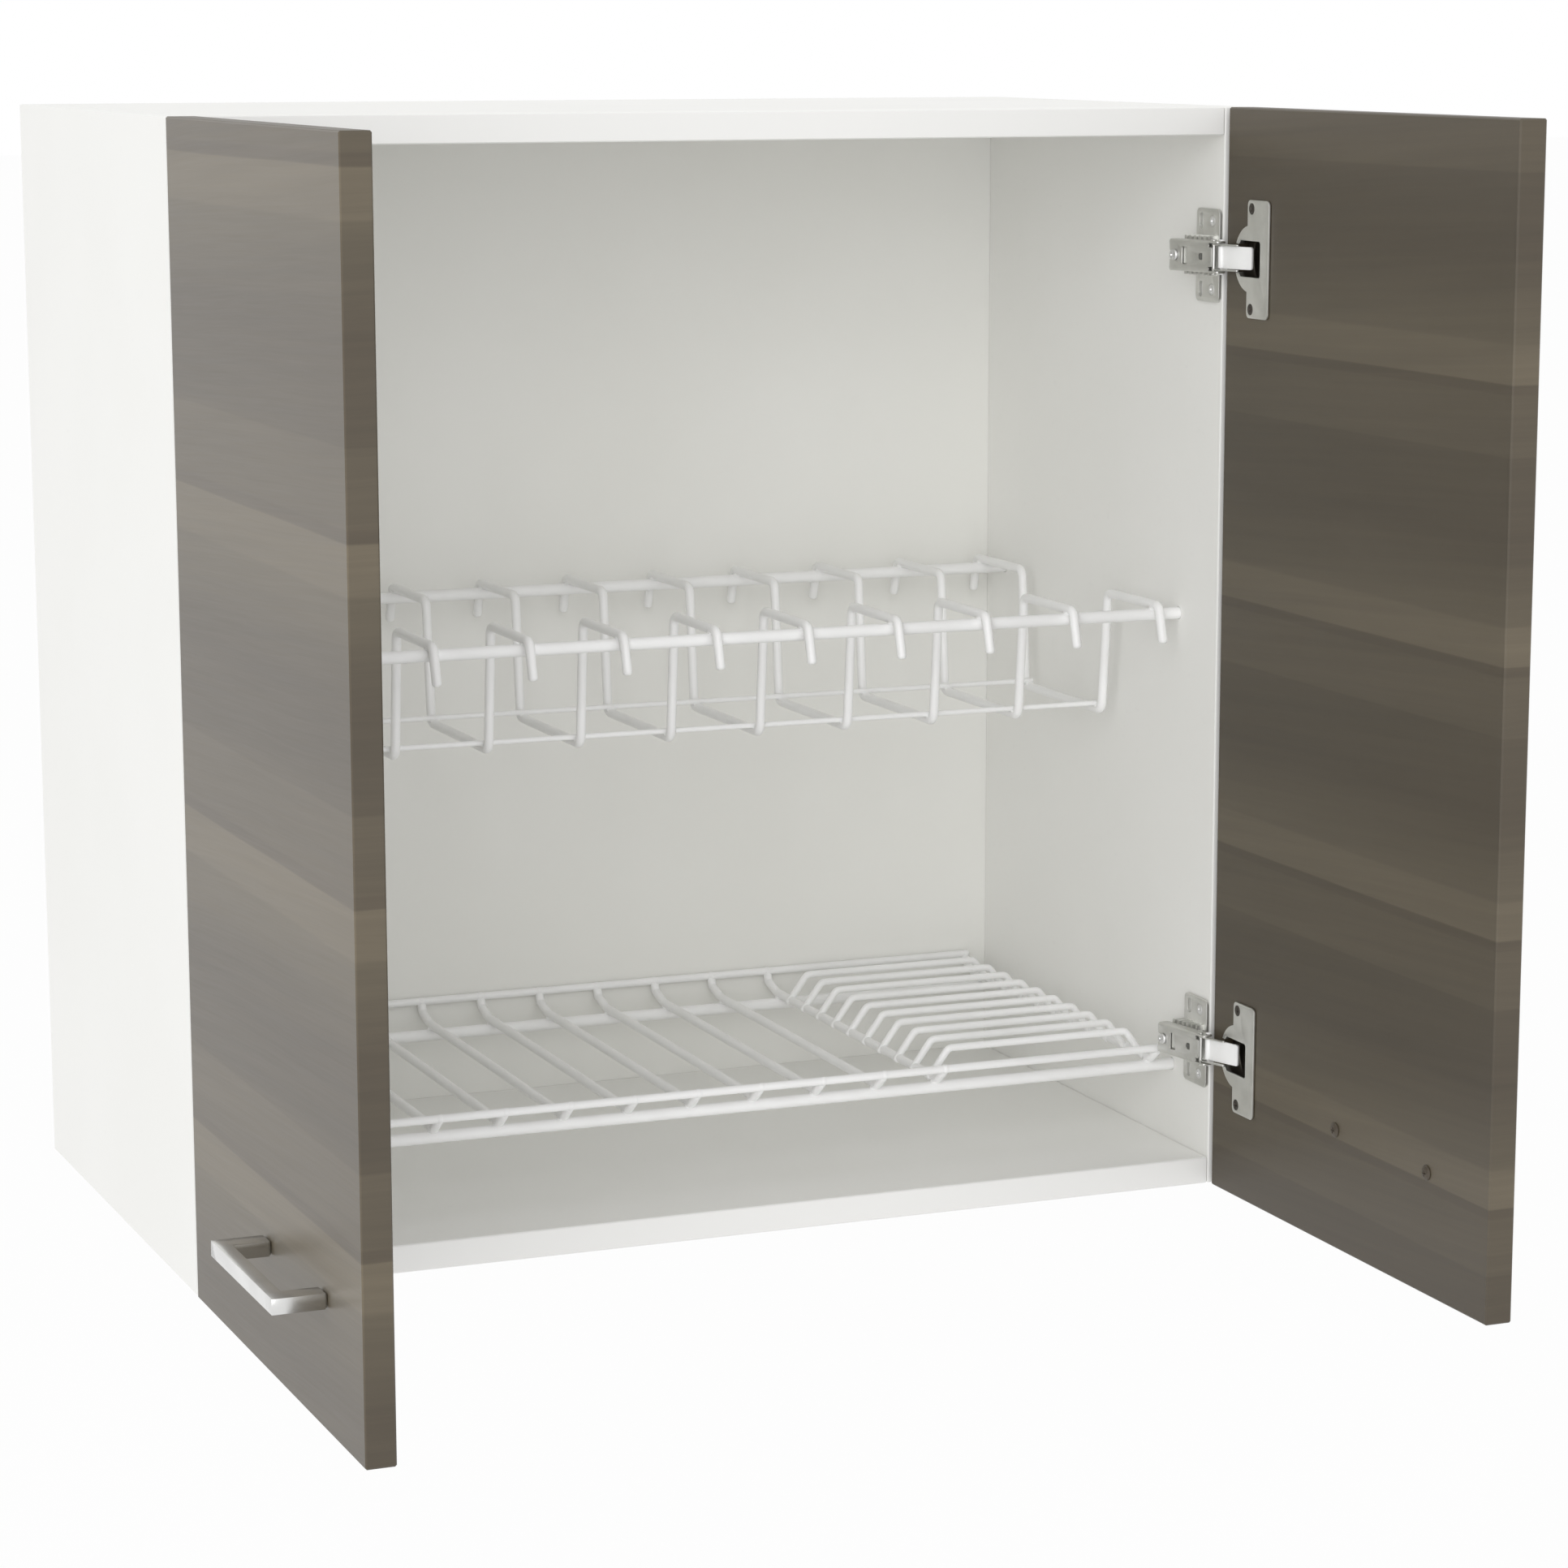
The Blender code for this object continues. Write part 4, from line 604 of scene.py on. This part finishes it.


# Screws: steel ones with a cross recess. Countersunk ones hold the hinge plates, the cups and the
# hangers, a cheese-head one clamps each arm, and low domed ones hold the handles. The cups' are
# dark, painted as the shade in their holes; the handles' brown-lacquered and the others
# zinc-plated.

screw_zinc = Finish("zinc_plated_screw")
zinc_cloud = screw_zinc.noise(screw_zinc.place(), 500.0, 3.0)
screw_zinc.wear(
    Base_Color=screw_zinc.blend(zinc_cloud, rgb(0.74, 0.74, 0.74), rgb(0.86, 0.86, 0.86)),
    Metallic=1.0,
    Roughness=0.36 + zinc_cloud * 0.18,
    Normal=screw_zinc.bump(zinc_cloud, 0.08, 0.0001))

# The cup screws' near-black colour is painted shade: it stands in for the shade in their holes.
screw_black = Finish("dark_screw_painted_hole_shade")
black_cloud = screw_black.noise(screw_black.place(), 500.0, 3.0)
screw_black.wear(
    Base_Color=screw_black.blend(black_cloud, rgb(0.045, 0.038, 0.032), rgb(0.095, 0.082, 0.070)),
    Metallic=0.6,
    Roughness=0.34 + black_cloud * 0.20,
    Normal=screw_black.bump(black_cloud, 0.08, 0.0001))

screw_brown = Finish("brown_lacquered_screw")
lacquer_cloud = screw_brown.noise(screw_brown.place(), 400.0, 3.0)
screw_brown.wear(
    Base_Color=screw_brown.blend(lacquer_cloud, rgb(0.070, 0.056, 0.040),
                                 rgb(0.105, 0.086, 0.064)),
    Metallic=0.2,
    Roughness=0.40 + lacquer_cloud * 0.16,
    Normal=screw_brown.bump(lacquer_cloud, 0.08, 0.0001))

SCREW_SIDES = 24
# Each kind's rings from the head to the tip, as radius and place, and its recess's half width
# and depth.
SUNK_SCREW = ([(0.00290, 0.0), (0.0030, -0.00012), (0.0016, -0.0012), (0.0016, -0.0085),
               (0.00056, -0.0105)], 0.0018, 0.0009)
CLAMP_SCREW = ([(0.0027, 0.0), (0.0030, -0.0003), (0.0030, -0.0012), (0.0016, -0.0012),
                (0.0016, -0.0092)], 0.0018, 0.0008)
HANDLE_SCREW = ([(0.0020, 0.0), (0.0032, -0.0006), (0.0040, -0.00125), (0.0040, -0.00148),
                 (0.0020, -0.00150), (0.0020, -0.0248)], 0.0019, 0.0009)
RECESS_ARM_SHARE = 0.24
RECESS_FLOOR_SHARE = 0.6
HANDLE_SCREW_FACE = 0.2837
HANDLE_SCREW_PLACES = (("outer", -0.2400), ("inner", -0.1440))
HANGER_SCREW_X = 0.230
HANGER_SCREW_FACE = 0.3226
HANGER_SCREW_Z = 0.572


def head_faces(bm, place):
    """The faces that lie flat in the screw head's face."""
    return [face for face in bm.faces if abs(face.calc_center_median().x - place) < SAME_SPOT / 2]


def turn_screw(rings, recess, depth):
    """A screw along -X from its head's face: rings of (radius, place), then a cross."""
    bm = bmesh.new()
    radius, place = rings[0]
    head = place
    upright = Matrix.Rotation(math.pi / 2, 4, "Y")
    top = bmesh.ops.create_circle(bm, cap_ends=True, radius=radius, segments=SCREW_SIDES,
                                  matrix=Matrix.Translation((place, 0, 0)) @ upright)["verts"]
    edges = ring_edges(top)
    for next_radius, next_place in rings[1:]:
        edges = pull_ring(bm, edges, Vector((next_place - place, 0, 0)), next_radius / radius)
        radius, place = next_radius, next_place
    bmesh.ops.edgeloop_fill(bm, edges=edges)
    slim = recess * RECESS_ARM_SHARE
    for reach in (slim, -slim, recess, -recess):
        for way in ((0, 1, 0), (0, 0, 1)):
            faces = head_faces(bm, head)
            geom = faces + list({edge for face in faces for edge in face.edges})
            geom += list({vert for face in faces for vert in face.verts})
            bmesh.ops.bisect_plane(bm, geom=geom, plane_co=Vector(way) * reach, plane_no=way)
    cross = []
    for face in head_faces(bm, head):
        spot = face.calc_center_median()
        near, far = sorted((abs(spot.y), abs(spot.z)))
        if far < recess and near < slim:
            cross.append(face)
    grown = bmesh.ops.extrude_face_region(bm, geom=cross)["geom"]
    verts = [piece for piece in grown if isinstance(piece, bmesh.types.BMVert)]
    bmesh.ops.delete(bm, geom=cross, context="FACES_ONLY")
    bmesh.ops.translate(bm, verts=verts, vec=(-depth, 0, 0))
    bmesh.ops.scale(bm, verts=verts, vec=(1.0, RECESS_FLOOR_SHARE, RECESS_FLOOR_SHARE))
    return bm


def turn_about(bm, axis, angle):
    bmesh.ops.rotate(bm, verts=bm.verts, matrix=Matrix.Rotation(angle, 3, axis))


def set_screw(kind, name, finish, side, body, place, node, lean=0.0):
    """Puts a screw with its head's face at a place on the right, and mirrors it if need be."""
    bm = turn_screw(*kind)
    turn_about(bm, "Z", math.pi + lean)
    shift(bm, *place)
    if side == "left":
        mirror_to_left(bm)
    set_in_place(bm, name, finish, body, node)


for side in ("left", "right"):
    for end, y in HANDLE_SCREW_PLACES:
        set_screw(HANDLE_SCREW, f"crossed_handle_screw_{side}_{end}", screw_brown, side,
                  f"door_{side}", (HANDLE_SCREW_FACE, y, HANDLE_Z),
                  f"handle_screw_{side}_{end}")
    bm = turn_screw(*SUNK_SCREW)
    turn_about(bm, "Z", math.pi / 2)
    shift(bm, HANGER_SCREW_X if side == "right" else -HANGER_SCREW_X, HANGER_SCREW_FACE,
          HANGER_SCREW_Z)
    set_in_place(bm, f"crossed_hanger_screw_{side}", screw_zinc, "cabinet",
                 f"hanger_screw_{side}")


# Hinges: two concealed ones a door. A nickel-plated steel plate is screwed to the side panel, and a
# folded channel arm is clamped on its ridge. The arm's nose carries a bright outer link and two
# inner cheeks on riveted pins, and they reach into a drawn cup that is let into the door.

SHEET_EDGE = 0.00018
PANEL_FACE = 0.2847
DOOR_EDGE = -0.0035
DOOR_INNER = 0.2855
HINGE_HEIGHTS = (("lower", 0.080), ("upper", 0.520))
CUP_SHADE_STARTS = 0.2862
CUP_SHADE_ENDS = 0.2885

nickel = Finish("nickel_plated_steel")
nickel_cloud = nickel.noise(nickel.place(), 70.0, 3.0)
nickel_roll = nickel.noise(nickel.place((400.0, 60.0, 900.0)), 1.0, 2.0)
# Deep in the cup the nickel turns dark brown-grey: painted shade in the bowl's hollow.
cup_painted_shade = nickel.ease(nickel.maths("ABSOLUTE", nickel.along("X")), CUP_SHADE_STARTS,
                     CUP_SHADE_ENDS)
nickel_tint = nickel.blend(nickel.ease(nickel_cloud, 0.3, 0.7), rgb(0.66, 0.66, 0.635),
                           rgb(0.74, 0.74, 0.715))
nickel.wear(
    Base_Color=nickel.blend(cup_painted_shade, nickel_tint, rgb(0.17, 0.155, 0.135)),
    Metallic=1.0,
    Roughness=0.30 + nickel_roll * 0.14,
    Normal=nickel.bump(nickel_roll, 0.05, 0.0001))

# The outer link is nickel-plated steel; its near-white, hardly metallic colour is a painted
# reflection.
bright = Finish("bright_nickel_link")
bright_cloud = bright.noise(bright.place(), 60.0, 2.0)
bright.wear(
    Base_Color=bright.blend(bright_cloud, rgb(0.95, 0.95, 0.945), rgb(0.97, 0.97, 0.965)),
    Metallic=0.1,
    Roughness=0.34 + bright_cloud * 0.10,
    Normal=bright.bump(bright_cloud, 0.05, 0.0001))


def rounded(corners, radius, steps=5):
    """An outline with each corner turned to an arc; a corner may carry its own radius."""
    outline = []
    spots = [Vector(corner[:2]) for corner in corners]
    for index, corner in enumerate(corners):
        spot = spots[index]
        size = corner[2] if len(corner) > 2 else radius
        if size == 0.0:
            outline.append(tuple(spot))
            continue
        into = (spots[index - 1] - spot).normalized()
        out = (spots[(index + 1) % len(spots)] - spot).normalized()
        half = into.angle(out) / 2
        centre = spot + (into + out).normalized() * (size / math.sin(half))
        start = spot + into * (size / math.tan(half)) - centre
        way = 1.0 if into.x * out.y - into.y * out.x < 0.0 else -1.0
        for step in range(steps + 1):
            angle = way * (math.pi - 2 * half) * step / steps
            outline.append(tuple(centre + Matrix.Rotation(angle, 2) @ start))
    return outline


def rectangle(near, far, low, high):
    return [(near, low), (far, low), (far, high), (near, high)]


def round_hole(centre, radius, sides=20):
    return [(centre[0] + radius * math.cos(2 * math.pi * index / sides),
             centre[1] + radius * math.sin(2 * math.pi * index / sides))
            for index in range(sides)]


def stamp_sheet(outlines, thickness, edge=SHEET_EDGE):
    """A stamped sheet from its outline and holes, flat on XY, its middle at height 0."""
    data = bpy.data.curves.new("stamping", "CURVE")
    data.dimensions = "2D"
    data.fill_mode = "BOTH"
    data.extrude = thickness / 2 - edge
    data.bevel_depth = edge
    data.bevel_resolution = 1
    data.offset = -edge
    for outline in outlines:
        spline = data.splines.new("POLY")
        spline.points.add(len(outline) - 1)
        for point, (x, y) in zip(spline.points, outline):
            point.co = (x, y, 0.0, 1.0)
        spline.use_cyclic_u = True
    pattern = bpy.data.objects.new("stamping", data)
    flat = bpy.data.meshes.new_from_object(pattern)
    bm = bmesh.new()
    bm.from_mesh(flat)
    bmesh.ops.remove_doubles(bm, verts=bm.verts, dist=SAME_SPOT)
    bmesh.ops.recalc_face_normals(bm, faces=bm.faces)
    bpy.data.objects.remove(pattern)
    bpy.data.meshes.remove(flat)
    return bm


def fold_up(bm, line, turn_radius, stiff, steps=5):
    """Bends the sheet past a line along X up to a right angle; what is stiff turns whole."""
    arc = turn_radius * math.pi / 2
    for step in range(steps + 1):
        cut_through(bm, (0, line + arc * step / steps, 0), (0, 1, 0))
    before = {vert: vert.co.copy() for vert in bm.verts}
    ahead = math.pi / 2 / steps
    half_step = arc / steps / 2
    for step in range(steps):
        crease = line + arc * step / steps
        moved = [vert for vert in bm.verts
                 if before[vert].y > crease + half_step * 0.02 or stiff(before[vert])]
        so_far = ahead * step
        pivot_y = line + turn_radius * math.sin(so_far) + half_step * math.cos(so_far)
        pivot_z = turn_radius * (1 - math.cos(so_far)) + half_step * math.sin(so_far)
        bmesh.ops.rotate(bm, verts=moved, cent=(0, pivot_y, pivot_z),
                         matrix=Matrix.Rotation(ahead, 3, "X"))


def to_side(bm, x):
    """Stands a flat sheet up: its X runs along Y, its Y along Z, and its top faces the room."""
    swap = Matrix(((0, 0, -1), (1, 0, 0), (0, 1, 0)))
    for vert in bm.verts:
        vert.co = swap @ vert.co
    shift(bm, x, 0, 0)


def join(bm, other):
    """Adds another mesh to this one."""
    spare = bpy.data.meshes.new("spare")
    other.to_mesh(spare)
    other.free()
    bm.from_mesh(spare)
    bpy.data.meshes.remove(spare)


PLATE_SHEET = 0.0016
PLATE_FRONT = 0.0010
PLATE_REAR = 0.0280
PLATE_HALF = 0.0252
PLATE_CORNER = 0.0030
PLATE_SCREW_Y = 0.0095
PLATE_SCREW_UP = 0.0185
PLATE_SLOT = (0.0199, 0.0241)
PLATE_SLOT_HALF = 0.0042
PLATE_SLOT_CORNER = 0.00205
SCREW_HOLE = 0.0031
ARM_TILT = math.radians(11.0)
ARM_PIN = Vector((0.2796, -0.0086, 0.0))
# The ridge's broad toothed block and its narrow top: the top's place across the arm, the near
# and the far end, and the half width.
RIDGE_BLOCK = (0.0022, 0.0030, 0.0280, 0.0080)
RIDGE_TOP = (-0.0038, 0.0050, 0.0285, 0.0072)
RIDGE_EDGE_ROUND = 0.0003
TOOTH_COUNT = 6
TOOTH_PITCH = 0.004
TOOTH_HALF = 0.0010
TOOTH_OUT = 0.0026
TOOTH_TAPER = 0.25
FIRST_TOOTH = 0.0025


def ridge_shape(across, near, far, half):
    """A block on the plate whose top slopes with the arm."""
    shape = bmesh.new()
    bmesh.ops.create_cube(shape, size=1.0)
    for vert in shape.verts:
        y = far if vert.co.y > 0 else near
        top = (ARM_PIN.x + across / math.cos(ARM_TILT)
               - (y - ARM_PIN.y) * math.tan(ARM_TILT))
        x = PANEL_FACE - PLATE_SHEET / 2 if vert.co.x > 0 else top
        vert.co = (x, y, half if vert.co.z > 0 else -half)
    return shape


def add_teeth(shape, places):
    """Draws a tapered tooth out of both sides of the ridge at each place."""
    for place in places:
        for lean in (-TOOTH_HALF, TOOTH_HALF):
            cut_through(shape, (0, place + lean, 0), (0, 1, 0))
    feet = [face for face in shape.faces if abs(face.normal.z) > 0.9
            and any(abs(face.calc_center_median().y - place) < TOOTH_HALF / 2
                    for place in places)]
    for foot in feet:
        tooth = push_face(shape, foot, foot.normal * TOOTH_OUT)
        middle = tooth.calc_center_median()
        for vert in tooth.verts:
            vert.co.y += (middle.y - vert.co.y) * TOOTH_TAPER


def make_mounting_plate(name, side, height):
    holes = []
    for middle in (PLATE_SCREW_UP, -PLATE_SCREW_UP):
        holes.append(round_hole((PLATE_SCREW_Y, middle), SCREW_HOLE))
        slot = rectangle(*PLATE_SLOT, middle - PLATE_SLOT_HALF, middle + PLATE_SLOT_HALF)
        holes.append(rounded(slot, PLATE_SLOT_CORNER))
    wing = rectangle(PLATE_FRONT, PLATE_REAR, -PLATE_HALF, PLATE_HALF)
    bm = stamp_sheet([rounded(wing, PLATE_CORNER)] + holes, PLATE_SHEET)
    to_side(bm, PANEL_FACE - PLATE_SHEET / 2)
    block = ridge_shape(*RIDGE_BLOCK)
    first = RIDGE_BLOCK[1] + FIRST_TOOTH
    add_teeth(block, [first + index * TOOTH_PITCH for index in range(TOOTH_COUNT)])
    top = ridge_shape(*RIDGE_TOP)
    round_edges(top, top.edges[:], RIDGE_EDGE_ROUND)
    for shape in (block, top):
        bmesh.ops.recalc_face_normals(shape, faces=shape.faces)
        join(bm, shape)
    shift(bm, 0, 0, height)
    if side == "left":
        mirror_to_left(bm)
    set_in_place(bm, f"stamped_{name}_mounting_plate", nickel, "cabinet",
                 f"{name}_mounting_plate")


ARM_SHEET = 0.0011
ARM_WEB_HALF = 0.0071
ARM_LEG_TOP = 0.01419
ARM_BEND = 0.00095
ARM_WEB_FROM_PIN = 0.00465
ARM_NECK = 0.0052
ARM_NECK_HALF = 0.0053
ARM_NOSE = -0.0026
ARM_TAIL = 0.0395
ARM_SCREW_ALONG = 0.0345
ARM_SCREW_FACE = -0.0067
# Half of the flat sheet's outline, along and across it, with each corner's own radius.
ARM_OUTLINE = [(0.0026, ARM_NECK_HALF, 0.0006), (ARM_NECK, ARM_NECK_HALF, 0.0004),
               (ARM_NECK, ARM_WEB_HALF, 0.0003), (ARM_NOSE, ARM_WEB_HALF, 0.0012),
               (ARM_NOSE, ARM_LEG_TOP, 0.0028), (ARM_TAIL, ARM_LEG_TOP, 0.0024),
               (ARM_TAIL, 0.0088, 0.0006), (ARM_TAIL - 0.0006, 0.0024, 0.0006),
               (0.0347, 0.0024, 0.0022)]
ARM_SLOT = rectangle(0.0234, 0.0286, -0.0047, 0.0047)
ARM_SLOT_CORNER = 0.0010
ARM_KEYHOLE = [(0.0103, -0.0018, 0.0003), (0.0137, -0.0018, 0.0017),
               (0.0137, 0.0018, 0.0017), (0.0103, 0.0018, 0.0003)]
PIN_HOLE = 0.0012
PIN_HOLES = ((0.0, 0.01229), (0.0030, 0.0093))


def in_nose(spot):
    """True in the legs' front ends, past the web's neck, which turn without bending."""
    return spot.x < ARM_NECK - 0.0001 and spot.y > ARM_WEB_HALF - 0.0004


def make_arm(name, side, height):
    """A folded channel: laid out flat along X, folded up on both sides, then set on the plate."""
    outline = ARM_OUTLINE + [(x, -y, corner) for x, y, corner in reversed(ARM_OUTLINE)]
    holes = [round_hole((along, way * across), PIN_HOLE, 16)
             for along, across in PIN_HOLES for way in (1, -1)]
    holes += [rounded(ARM_SLOT, ARM_SLOT_CORNER), rounded(ARM_KEYHOLE, 0.0)]
    bm = stamp_sheet([rounded(outline, 0.0)] + holes, ARM_SHEET)
    fold_up(bm, ARM_WEB_HALF, ARM_BEND, in_nose)
    bmesh.ops.scale(bm, verts=bm.verts, vec=(1.0, -1.0, 1.0))
    bmesh.ops.reverse_faces(bm, faces=bm.faces)
    fold_up(bm, ARM_WEB_HALF, ARM_BEND, in_nose)
    for vert in bm.verts:
        vert.co = (vert.co.z - ARM_WEB_FROM_PIN, vert.co.x, vert.co.y)
    turn_about(bm, "Z", ARM_TILT)
    shift(bm, ARM_PIN.x, ARM_PIN.y, height)
    if side == "left":
        mirror_to_left(bm)
    set_in_place(bm, f"folded_{name}_arm", nickel, "cabinet", f"{name}_arm")


LINK_REST = math.radians(-70.0)
LINK_SHEET = 0.0015
LINK_SHEET_EDGE = 0.0003
LINK_OUTLINE = rectangle(0.0, 0.0225, -0.0061, 0.0061)
LINK_CORNER = 0.0012
BARREL_RADIUS = 0.0019
BARREL_HEIGHT = 0.0116
BARREL_EDGE_ROUND = 0.0003
CHEEK_SHEET = 0.0008
CHEEK_SHEET_EDGE = 0.00015
CHEEK_OUTLINE = rectangle(-0.0012, 0.0178, -0.0009, 0.0009)
CHEEK_CORNER = 0.00085
CHEEK_FROM_MIDDLE = 0.0068
INNER_PIN = ARM_PIN + Vector((-0.0035, 0.0024, 0.0))
PIN_RADIUS = 0.0009
# A pin's rings from its middle to its riveted end, as radius and height.
PIN_RINGS = [(PIN_RADIUS, 0.0089), (0.0016, 0.0089), (0.0016, 0.00915), (0.00136, 0.0094),
             (0.00081, 0.0095)]


def riveted_pin():
    """A pin along Z whose ends are riveted to low domes."""
    bm = bmesh.new()
    radius, place = PIN_RINGS[-1]
    top = bmesh.ops.create_circle(bm, cap_ends=True, radius=radius, segments=20,
                                  matrix=Matrix.Translation((0, 0, place)))["verts"]
    edges = ring_edges(top)
    lower_half = [(ring, -height) for ring, height in PIN_RINGS]
    for next_radius, next_place in PIN_RINGS[-2::-1] + lower_half:
        edges = pull_ring(bm, edges, Vector((0, 0, next_place - place)), next_radius / radius)
        radius, place = next_radius, next_place
    bmesh.ops.edgeloop_fill(bm, edges=edges)
    return bm


def make_outer_link():
    """A bright plate with its eye rolled round the pin."""
    link = stamp_sheet([rounded(LINK_OUTLINE, LINK_CORNER)], LINK_SHEET, LINK_SHEET_EDGE)
    turn_about(link, "X", math.pi / 2)
    barrel = bmesh.new()
    bmesh.ops.create_cone(barrel, cap_ends=True, segments=24, radius1=BARREL_RADIUS,
                          radius2=BARREL_RADIUS, depth=BARREL_HEIGHT)
    rims = [edge for edge in barrel.edges if edge.calc_face_angle(0.0) > SQUARE_EDGE]
    round_edges(barrel, rims, BARREL_EDGE_ROUND)
    join(link, barrel)
    join(link, riveted_pin())
    return link


def make_inner_link():
    """Two narrow cheeks on one pin."""
    link = riveted_pin()
    for way in (1, -1):
        cheek = stamp_sheet([rounded(CHEEK_OUTLINE, CHEEK_CORNER)], CHEEK_SHEET,
                            CHEEK_SHEET_EDGE)
        shift(cheek, 0, 0, way * CHEEK_FROM_MIDDLE)
        join(link, cheek)
    return link


def make_links(name, side, height):
    for bm, kind, finish, slot, pin in (
            (make_outer_link(), "outer", bright, "bright_nickel", ARM_PIN),
            (make_inner_link(), "inner", nickel, "nickel", INNER_PIN)):
        turn_about(bm, "Z", LINK_REST)
        shift(bm, pin.x, pin.y, height)
        if side == "left":
            mirror_to_left(bm)
        set_in_place(bm, f"riveted_{name}_{kind}_link", finish,
                     f"{kind}_links_{side}", f"{name}_{kind}_link")


CUP_SHEET = 0.0012
CUP_WALL = 0.0006
CUP_MIDDLE = 0.0295
FLANGE_RADIUS = 0.0180
FLANGE_STEPS = 14
FLANGE_SUNK = 0.0009
WING_NEAR = 0.0259
WING_FAR = 0.0497
WING_HALF = 0.0315
WING_CORNER = 0.0028
WING_SHOULDER = 0.0040
MOUTH_HALF = 0.0077
MOUTH_STARTS = 0.0100
MOUTH_ENDS = 0.0166
OPENING_STARTS = 0.0184
OPENING_FAR = 0.0405
OPENING_HALF = 0.0097
OPENING_CORNER = 0.0016
MOUTH_CORNER = 0.0006
CUP_SCREW_ALONG = 0.0303
CUP_SCREW_UP = 0.0268
CUP_SCREW_FACE = 0.0015
# The bowl's wall from its rim to the middle of its floor, as radius and height.
BOWL_PROFILE = ((0.01685, 0.0004), (0.01685, -0.0093), (0.0162, -0.0106), (0.0148, -0.0111),
                (0.0, -0.0111))
BOWL_STEPS = 48
BOWL_MOUTH_DEPTH = 0.0058
BOWL_MOUTH_STARTS = -0.010


def flange_outline():
    """The winged flange, open towards the hinge edge, where the links go in."""
    reach = math.sqrt(FLANGE_RADIUS ** 2 - (CUP_MIDDLE - WING_NEAR) ** 2)
    start = math.asin(MOUTH_HALF / FLANGE_RADIUS)
    stop = math.atan2(reach, CUP_MIDDLE - WING_NEAR)
    angles = [start + (stop - start) * step / FLANGE_STEPS for step in range(FLANGE_STEPS + 1)]
    arc = [(CUP_MIDDLE - FLANGE_RADIUS * math.cos(angle), FLANGE_RADIUS * math.sin(angle))
           for angle in angles]
    wing = rounded([(WING_NEAR, reach - WING_SHOULDER, 0.0), (WING_NEAR, WING_HALF),
                    (WING_FAR, WING_HALF), (WING_FAR, 0.0, 0.0)], WING_CORNER)[1:-1]
    mouth = [(MOUTH_STARTS, MOUTH_HALF, 0.0), (MOUTH_ENDS, MOUTH_HALF, MOUTH_CORNER),
             (OPENING_STARTS, OPENING_HALF, MOUTH_CORNER), (OPENING_FAR, OPENING_HALF)]
    below = [(corner[0], -corner[1], *corner[2:]) for corner in reversed(mouth)]
    opening = rounded(mouth + below, OPENING_CORNER)[1:-1]
    upper = arc + wing
    return upper + [(x, -y) for x, y in reversed(upper)] + opening[::-1]


def drawn_bowl():
    """The bowl, open at its mouth down to a depth."""
    bowl = bmesh.new()
    line = [bowl.verts.new((radius, 0, height)) for radius, height in BOWL_PROFILE]
    profile = [bowl.edges.new(pair) for pair in zip(line, line[1:])]
    bmesh.ops.spin(bowl, geom=line + profile, cent=(0, 0, 0), axis=(0, 0, 1),
                   angle=2 * math.pi, steps=BOWL_STEPS, use_merge=True)
    bmesh.ops.remove_doubles(bowl, verts=bowl.verts, dist=SAME_SPOT)
    cut_through(bowl, (0, MOUTH_HALF, 0), (0, 1, 0))
    cut_through(bowl, (0, -MOUTH_HALF, 0), (0, 1, 0))
    cut_through(bowl, (0, 0, -BOWL_MOUTH_DEPTH), (0, 0, 1))
    lip = [face for face in bowl.faces if face.calc_center_median().x < BOWL_MOUTH_STARTS
           and abs(face.calc_center_median().y) < MOUTH_HALF
           and face.calc_center_median().z > -BOWL_MOUTH_DEPTH]
    bmesh.ops.delete(bowl, geom=lip, context="FACES")
    bmesh.ops.recalc_face_normals(bowl, faces=bowl.faces)
    bmesh.ops.solidify(bowl, geom=bowl.faces[:], thickness=CUP_WALL)
    shift(bowl, CUP_MIDDLE, 0, 0)
    return bowl


def make_cup(name, side, height):
    """A drawn cup under a winged flange, laid out flat from the door's hinge edge."""
    holes = [round_hole((CUP_SCREW_ALONG, way * CUP_SCREW_UP), SCREW_HOLE) for way in (1, -1)]
    bm = stamp_sheet([flange_outline()] + holes, CUP_SHEET)
    join(bm, drawn_bowl())
    for vert in bm.verts:
        along_door, up_door, out = vert.co
        vert.co = (DOOR_INNER - FLANGE_SUNK - out, DOOR_EDGE - along_door, up_door)
    bmesh.ops.reverse_faces(bm, faces=bm.faces)
    shift(bm, 0, 0, height)
    if side == "left":
        mirror_to_left(bm)
    set_in_place(bm, f"drawn_{name}_cup", nickel, f"door_{side}", f"{name}_cup")


for side in ("left", "right"):
    for level, height in HINGE_HEIGHTS:
        name = f"hinge_{side}_{level}"
        make_mounting_plate(name, side, height)
        make_arm(name, side, height)
        make_links(name, side, height)
        make_cup(name, side, height)
        for end, way in (("top", 1), ("bottom", -1)):
            set_screw(SUNK_SCREW, f"crossed_{name}_plate_screw_{end}", screw_zinc, side,
                      "cabinet",
                      (PANEL_FACE - PLATE_SHEET, PLATE_SCREW_Y, height + way * PLATE_SCREW_UP),
                      f"{name}_plate_screw_{end}")
            set_screw(SUNK_SCREW, f"crossed_{name}_cup_screw_{end}", screw_black, side,
                      f"door_{side}",
                      (DOOR_INNER - CUP_SCREW_FACE, DOOR_EDGE - CUP_SCREW_ALONG,
                       height + way * CUP_SCREW_UP),
                      f"{name}_cup_screw_{end}")
        web_face = Vector((ARM_SCREW_FACE, ARM_SCREW_ALONG, 0))
        set_screw(CLAMP_SCREW, f"crossed_{name}_arm_screw", screw_zinc, side, "cabinet",
                  ARM_PIN + Matrix.Rotation(ARM_TILT, 3, "Z") @ web_face
                  + Vector((0, 0, height)),
                  f"{name}_arm_screw", lean=ARM_TILT)
